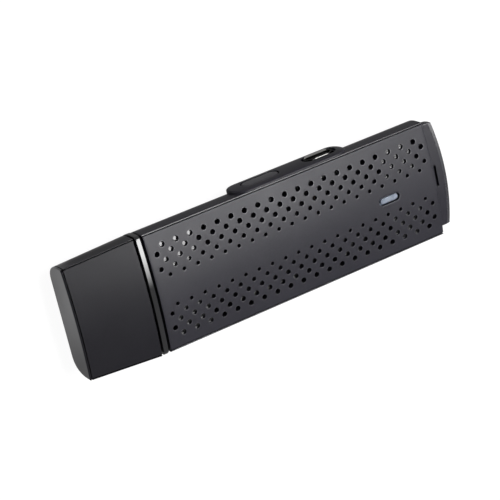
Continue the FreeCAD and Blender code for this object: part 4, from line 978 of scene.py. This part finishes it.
# ------------------------------------------------------------------ status lens
def make_lens():
    s = Shape()
    cx = -32.35
    sec = Section(14.36, 6.3, 0.0, 9.0, 3.2, 9.9)

    def head(d):
        return stadium(cx - 0.23, 0.15, 4.86 - 2 * d, 1.32 - 2 * d, 14, 16)

    def top(x, y, depth):
        return (x, y, sec.top(y) - depth)

    r, low = 0.16, 0.3
    loops = []
    for k in range(7):
        a = math.pi / 2 * k / 6
        loops.append([top(x, y, low + r - r * math.sin(a)) for x, y in head(r * (1 - math.cos(a)))])
    s.loft(loops)
    s.fill(head(r), [], lambda x, y: top(x, y, low), 0.3)
    fl = rounded(cx, 0.0, 7.0, 3.2, 0.5, 4, 10, 5)
    z1, z0 = 8.85, 8.25
    s.loft([[top(x, y, low + r) for x, y in head(0.0)], [(x, y, z1) for x, y in head(0.0)]])
    s.fill(fl, [head(0.0)], lambda x, y: (x, y, z1), 0.6)
    s.loft([[(x, y, z1) for x, y in fl], [(x, y, z0) for x, y in fl]])
    stem = rounded(cx, 0.0, 2.4, 1.4, 0.2, 3, 4, 3)
    s.fill(fl, [stem], lambda x, y: (x, y, z0), 0.6)
    s.loft([[(x, y, z0) for x, y in stem], [(x, y, 4.4) for x, y in stem]])
    s.fill(stem, [], lambda x, y: (x, y, 4.4))
    return s.build("window_lens", [lens_mat], "stick", "status_lens")


# ------------------------------------------------------------------ power port shell
def port_loop(grow, flare=0.0):
    """Wide flat side down, clipped upper corners, rounded. flare is not used."""
    a, b, cx, cz = 3.75, 1.25, 1.25, 1.0
    slope = math.hypot(cx, cz)
    gx, gz = 1 - (slope - cx) / cz, 1 - (slope - cz) / cx
    ax, bz, sx, sz = a + grow, b + grow, cx + gx * grow, cz + gz * grow
    corner = [(-ax, -bz), (ax, -bz), (ax, bz - sz), (ax - sx, bz), (sx - ax, bz), (-ax, bz - sz)]
    rad = [0.55, 0.55, 0.5, 0.5, 0.5, 0.5]
    pts, tags = [], []
    n = len(corner)
    for i in range(n):
        p, q, r = Vector(corner[i - 1]), Vector(corner[i]), Vector(corner[(i + 1) % n])
        u, v = (p - q).normalized(), (r - q).normalized()
        half = math.acos(max(-1, min(1, u.dot(v)))) / 2
        rr = max(0.12, rad[i] + grow)
        t = rr / math.tan(half)
        c = q + (u + v).normalized() * (rr / math.sin(half))
        s0, s1 = q + u * t, q + v * t
        a0, a1 = math.atan2(s0.y - c.y, s0.x - c.x), math.atan2(s1.y - c.y, s1.x - c.x)
        while a1 < a0:
            a1 += 2 * math.pi
        for k in range(7):
            w = a0 + (a1 - a0) * k / 6
            pts.append((c.x + rr * math.cos(w), c.y + rr * math.sin(w)))
            tags.append(0.0)
        nxt = Vector(corner[(i + 1) % n])
        far = Vector(corner[(i + 2) % n])
        u2, v2 = (q - nxt).normalized(), (far - nxt).normalized()
        half2 = math.acos(max(-1, min(1, u2.dot(v2)))) / 2
        rr2 = max(0.12, rad[(i + 1) % n] + grow)
        end = nxt + u2 * (rr2 / math.tan(half2))
        m = {0: 26, 1: 5, 2: 6, 3: 18, 4: 6, 5: 5}[i]
        for k in range(1, m):
            f = k / m
            pts.append((s1.x + (end.x - s1.x) * f, s1.y + (end.y - s1.y) * f))
            lip = {0: 1.0, 3: 1.0, 1: 0.0, 5: 0.0}.get(i, 0.0)
            edge_d = min(f, 1 - f) * m
            tags.append(lip * min(1.0, max(0.0, (edge_d - 0.0) / 1.6)))
    return pts, tags


def make_port():
    s = Shape()
    px, pz = -19.06, 4.9
    sheet, rise, mouth, depth, flare = 0.28, 0.36, 15.26, 5.41, 0.4
    crest = ((0.0, 0.0), (0.04, 0.12), (0.1, 0.45), (0.18, 0.85), (0.28, 1.0), (0.5, 0.9), (0.75, 0.66), (1.0, 0.35))
    short = 0.2  # the lower lip turns out over this length only
    outer, tag = port_loop(0.0)
    inner, _ = port_loop(-sheet)
    outer_w, _ = port_loop(rise)
    inner_w, _ = port_loop(rise - sheet)
    neck = mouth - flare
    back = mouth - depth

    def level(base, wide, f, y):
        """f is how far along the lip; sides without a lip stop short and stay straight."""
        out = []
        for (a, b), (c, d), w in zip(base, wide, tag):
            g = w * (float(np.interp(f, [k[0] for k in crest], [k[1] for k in crest])) if b > 0 else f)
            at = y if b > 0 else neck + flare - 0.05 - short * (1 - f)
            reach = neck + (at - neck) * (0.25 + 0.75 * w)
            out.append((px + a + (c - a) * g, -reach, pz + b + (d - b) * g))
        return out

    outs = [[(px + a, -back, pz + b) for a, b in outer], [(px + a, -neck, pz + b) for a, b in outer]]
    ins = [[(px + a, -back - sheet, pz + b) for a, b in inner], [(px + a, -neck, pz + b) for a, b in inner]]
    for f in (0.04, 0.1, 0.18, 0.28, 0.5, 0.75, 1.0):
        outs.append(level(outer, outer_w, f, neck + (flare - 0.05) * f))
        ins.append(level(inner, inner_w, f, neck + (flare - 0.05) * f))
    blend_ = [tuple((p + q) / 2 for p, q in zip(a, b)) for a, b in zip(outs[-1], ins[-1])]
    nose = []
    for (x, y, z), w in zip(blend_, tag):
        nose.append((x, y - 0.05 * (0.4 + 0.6 * w), z))
    o2 = [tuple(0.7 * p + 0.3 * q for p, q in zip(a, b)) for a, b in zip(outs[-1], nose)]
    i2 = [tuple(0.7 * p + 0.3 * q for p, q in zip(a, b)) for a, b in zip(ins[-1], nose)]
    o2 = [(x, min(y, n_[1] + 0.012), z) for (x, y, z), n_ in zip(o2, nose)]
    i2 = [(x, min(y, n_[1] + 0.012), z) for (x, y, z), n_ in zip(i2, nose)]
    side = {i for i in range(len(tag)) if tag[i] < 0.5 and tag[(i + 1) % len(tag)] < 0.5}
    over = {i for i in range(len(tag)) if outer[i][1] > 0 and outer[(i + 1) % len(tag)][1] > 0}
    # painted shade: the flanks without a lip, and at the mouth also the upper side, take the dark copy of the nickel
    s.loft(outs[:-2], pick=lambda i: 1 if i in side else 0)
    s.loft(outs[-3:] + [o2, nose, i2], pick=lambda i: 1 if i in side or i in over else 0)
    # inside, everything but the lower lip is painted dark as shade; only the lower lip keeps the bright plating
    lit = {i for i in range(len(tag)) if tag[i] > 0.1 and inner[i][1] < 0}
    s.loft([i2] + ins[:1:-1], pick=lambda i: 0 if i in lit else 1)
    s.loft(ins[2::-1], kind=1)
    s.fill([(a, b) for a, b in outer], [], lambda a, b: (px + a, -back, pz + b))
    s.fill([(a, b) for a, b in inner], [], lambda a, b: (px + a, -back - sheet, pz + b))
    return s.build("port_socket", [port_mat, port_painted_shade_mat], "stick", "port_shell")


# ------------------------------------------------------------------ video plug shell
def make_plug():
    s = Shape()
    W, H, side, low, t = 13.9, 4.45, 2.65, 10.4, 0.3
    pz = 4.95

    def outline(g, n=5):
        """g grows the outline; counter-clockwise, with soft corners."""
        pts = [(-low / 2 + 0.4 * -g * -1 * 0 - 0.0, -H / 2), (low / 2, -H / 2), (W / 2, H / 2 - side), (W / 2, H / 2),
               (-W / 2, H / 2), (-W / 2, H / 2 - side)]
        base = [Vector(p) for p in pts]
        rad = [0.8, 0.8, 0.7, 0.5, 0.5, 0.7]
        out, count = [], len(base)
        for i in range(count):
            p, q, r = base[i - 1], base[i], base[(i + 1) % count]
            u, v = (p - q).normalized(), (r - q).normalized()
            half = math.acos(max(-1, min(1, u.dot(v)))) / 2
            c = q + (u + v).normalized() * (rad[i] / math.sin(half))
            s0, s1 = q + u * (rad[i] / math.tan(half)), q + v * (rad[i] / math.tan(half))
            a0, a1 = math.atan2(s0.y - c.y, s0.x - c.x), math.atan2(s1.y - c.y, s1.x - c.x)
            while a1 < a0:
                a1 += 2 * math.pi
            rr = rad[i] + g
            out += [(c.x + rr * math.cos(a0 + (a1 - a0) * k / n), pz + c.y + rr * math.sin(a0 + (a1 - a0) * k / n))
                    for k in range(n + 1)]
        return out

    outer, inner = outline(0.0), outline(-t)
    x0, x1 = 22.5, 44.4
    xa, xb = 37.2, 40.0  # the stretch with the catch windows
    n = len(outer)
    # the flat runs on top and underneath are the longest segments
    def runs(loop):
        tops = max(range(n), key=lambda i: (loop[i][1] + loop[(i + 1) % n][1], abs(loop[i][0] - loop[(i + 1) % n][0])))
        bots = min(range(n), key=lambda i: (loop[i][1] + loop[(i + 1) % n][1], -abs(loop[i][0] - loop[(i + 1) % n][0])))
        return tops, bots

    # painted shade: the stretch inside the case takes the dark copy of the nickel
    for loop, stops in ((outer, [x0, 30.6, xa, xb, x1 - 0.22]), (inner, [x0, 30.6, xa, xb, x1 - 0.22])):
        tops, bots = runs(loop)
        rows = [s.put(at_x(x, loop)) for x in stops]
        for a in range(4):
            for i in range(n):
                if a == 2 and i in (tops, bots):
                    continue
                j = (i + 1) % n
                s.face((rows[a][i], rows[a][j], rows[a + 1][j], rows[a + 1][i]), 1 if a == 0 else 0)
        for run, ys in ((tops, (3.4, -3.4)), (bots, (2.6, -2.6))):
            p, q = loop[run], loop[(run + 1) % n]
            z = p[1]
            quad = [(xa, p[0]), (xb, p[0]), (xb, q[0]), (xa, q[0])]
            if p[0] > q[0]:
                quad = [(xa, q[0]), (xb, q[0]), (xb, p[0]), (xa, p[0])]
            holes = [rounded(38.6, y, 2.2, 1.9, 0.25, 3, 4, 4) for y in ys]
            s.fill(quad, holes, lambda x, y, z=z: (x, y, z), 1.0)
    for zz, ys, d in ((pz + H / 2, (3.4, -3.4), -t), (pz - H / 2, (2.6, -2.6), t)):
        for y in ys:
            h = rounded(38.6, y, 2.2, 1.9, 0.25, 3, 4, 4)
            s.loft([[(a, b, zz) for a, b in h], [(a, b, zz + d) for a, b in h]])
    # rolled front edge
    front = [at_x(x1 - 0.22, outer), at_x(x1 - 0.08, outline(-0.04)), at_x(x1 - 0.01, outline(-0.12)),
             at_x(x1, outline(-0.18)), at_x(x1 - 0.02, outline(-0.25)), at_x(x1 - 0.09, outline(-0.3)),
             at_x(x1 - 0.22, inner)]
    s.loft(front)
    s.loft([at_x(x0, outer), at_x(x0, inner)])
    return s.build("plug_tube", [plug_mat, port_painted_shade_mat], "stick", "plug_shell")


make_cover()
make_case()
make_ring()
make_cap()
make_end()
make_button()
make_lens()
make_port()
make_plug()

# ------------------------------------------------------------------ floor, light, camera
scene = bpy.context.scene
scene.view_settings.view_transform = "Standard"
scene.view_settings.look = "None"


def plane(name, corners, material):
    me = bpy.data.meshes.new(name)
    me.from_pydata(corners, [], [(0, 1, 2, 3)])
    me.materials.append(material)
    o = bpy.data.objects.new(name, me)
    scene.collection.objects.link(o)
    return o


def floor_material():
    """Pale paper: seen straight on it is near white with a faint shadow. In reflections its glow is
    uneven, as if black flags stood along the -Y side and a white card lay beyond the cap."""
    m = bpy.data.materials.new("floor_paper")
    m.use_nodes = True
    t = m.node_tree
    t.nodes.clear()
    c = t.nodes.new("ShaderNodeTexCoord").outputs["Object"]
    fibre = noise(t, c, 180.0, 5.0, 0.6)
    paper = t.nodes.new("ShaderNodeBsdfDiffuse")
    link(t, blend(t, fibre, (0.09, 0.09, 0.09), (0.11, 0.11, 0.11)), paper.inputs["Color"])
    lift = add(t, "ShaderNodeEmission", Strength=0.94)
    sight = t.nodes.new("ShaderNodeAddShader")
    link(t, paper.outputs[0], sight.inputs[0])
    link(t, lift.outputs[0], sight.inputs[1])
    sep = t.nodes.new("ShaderNodeSeparateXYZ")
    link(t, c, sep.inputs[0])
    side_ = span(t, sep.outputs[1], FLOOR_NEAR, FLOOR_FAR, -0.03, 0.02)
    ahead = span(t, sep.outputs[0], 0.0, FLOOR_AHEAD, 0.045, 0.056)
    fall = span(t, sep.outputs[1], 1.0, 0.35, 0.0, 0.013)
    both = add(t, "ShaderNodeMath", operation="MULTIPLY")
    link(t, ahead, both.inputs[0])
    link(t, fall, both.inputs[1])
    total = add(t, "ShaderNodeMath", operation="ADD")
    link(t, side_, total.inputs[0])
    link(t, both.outputs[0], total.inputs[1])
    glow = t.nodes.new("ShaderNodeEmission")
    link(t, total.outputs[0], glow.inputs["Strength"])
    path = t.nodes.new("ShaderNodeLightPath")
    mix = t.nodes.new("ShaderNodeMixShader")
    out = t.nodes.new("ShaderNodeOutputMaterial")
    link(t, path.outputs["Is Camera Ray"], mix.inputs[0])
    link(t, glow.outputs[0], mix.inputs[1])
    link(t, sight.outputs[0], mix.inputs[2])
    link(t, mix.outputs[0], out.inputs["Surface"])
    return m


def card_material(name, strength, fade_axis=None, fade=(0.0, 1.0)):
    """A light card; along one side its glow may fade out."""
    m = bpy.data.materials.new(name)
    m.use_nodes = True
    t = m.node_tree
    t.nodes.clear()
    e = t.nodes.new("ShaderNodeEmission")
    o = t.nodes.new("ShaderNodeOutputMaterial")
    e.inputs["Strength"].default_value = strength
    if fade_axis is not None:
        c = t.nodes.new("ShaderNodeTexCoord").outputs["Object"]
        sep = t.nodes.new("ShaderNodeSeparateXYZ")
        link(t, c, sep.inputs[0])
        v = span(t, sep.outputs[fade_axis], strength, 0.0, *fade)
        link(t, v, e.inputs["Strength"])
    link(t, e.outputs[0], o.inputs["Surface"])
    return m


big = 3.0
FLOOR_NEAR, FLOOR_FAR, FLOOR_AHEAD = 0.29, 0.35, 1.4
floor = plane("floor", [(-big, -big, 0), (big, -big, 0), (big, big, 0), (-big, big, 0)], floor_material())


def card(name, points, material):
    o = plane(name, points, material)
    o.visible_camera = False
    return o


# key: an overhead softbox; its reflection lies in the upper half of the collar
KZ = 0.93
card("key_card", [(-0.45, -0.34, KZ), (-0.22, -0.34, KZ), (-0.22, 0.33, KZ), (-0.45, 0.33, KZ)],
     card_material("key_glow", 19.6, 1, (0.13, 0.325)))
# far card over the plain end: it lights the upper part of the facet there
card("facet_card", [(-0.90, -0.25, 0.66), (-0.69, -0.25, 0.66), (-0.69, 0.28, 0.66), (-0.90, 0.28, 0.66)],
     card_material("facet_glow", 8.0, 1, (0.05, 0.26)))
# low fill on the +Y side
card("fill_card", [(-1.6, 1.3, 0.2), (1.1, 1.3, 0.2), (1.1, 0.5, 2.0), (-1.6, 0.5, 2.0)],
     card_material("fill_glow", 0.75))
# strip light on the -Y side: it draws the thin lines along the rim and the pod
card("strip_card", [(-0.95, -0.62, 0.62), (-0.22, -0.62, 0.62), (-0.22, -0.42, 0.92), (-0.95, -0.42, 0.92)],
     card_material("strip_glow", 8.0))
card("low_card", [(-1.3, -1.2, 0.12), (0.3, -1.2, 0.12), (0.3, -1.2, 0.95), (-1.3, -1.2, 0.95)],
     card_material("low_glow", 0.75))

world = bpy.data.worlds.new("studio")
scene.world = world
world.use_nodes = True
wt = world.node_tree
wt.nodes.clear()
path = wt.nodes.new("ShaderNodeLightPath")
dim = wt.nodes.new("ShaderNodeBackground")
dim.inputs["Color"].default_value = (1, 1, 1, 1)
dim.inputs["Strength"].default_value = 0.16
seen = wt.nodes.new("ShaderNodeBackground")
seen.inputs["Color"].default_value = (1, 1, 1, 1)
seen.inputs["Strength"].default_value = 1.0
mix = wt.nodes.new("ShaderNodeMixShader")
wout = wt.nodes.new("ShaderNodeOutputWorld")
wt.links.new(path.outputs["Is Camera Ray"], mix.inputs[0])
wt.links.new(dim.outputs[0], mix.inputs[1])
wt.links.new(seen.outputs[0], mix.inputs[2])
wt.links.new(mix.outputs[0], wout.inputs["Surface"])

cam_data = bpy.data.cameras.new("camera")
cam = bpy.data.objects.new("camera", cam_data)
scene.collection.objects.link(cam)
scene.camera = cam
cam_data.sensor_fit = "HORIZONTAL"
cam_data.sensor_width = 36.0
cam_data.lens = 142.4620
cam_data.clip_start = 0.01
cam_data.clip_end = 20.0
cam.matrix_world = Matrix((
    (-0.84463882, -0.35307719, 0.40239504, 0.18645276),
    (0.21494383, -0.91208962, -0.34912988, -0.15789395),
    (0.49029013, -0.20839632, 0.84627806, 0.38960338),
    (0.0, 0.0, 0.0, 1.0)))
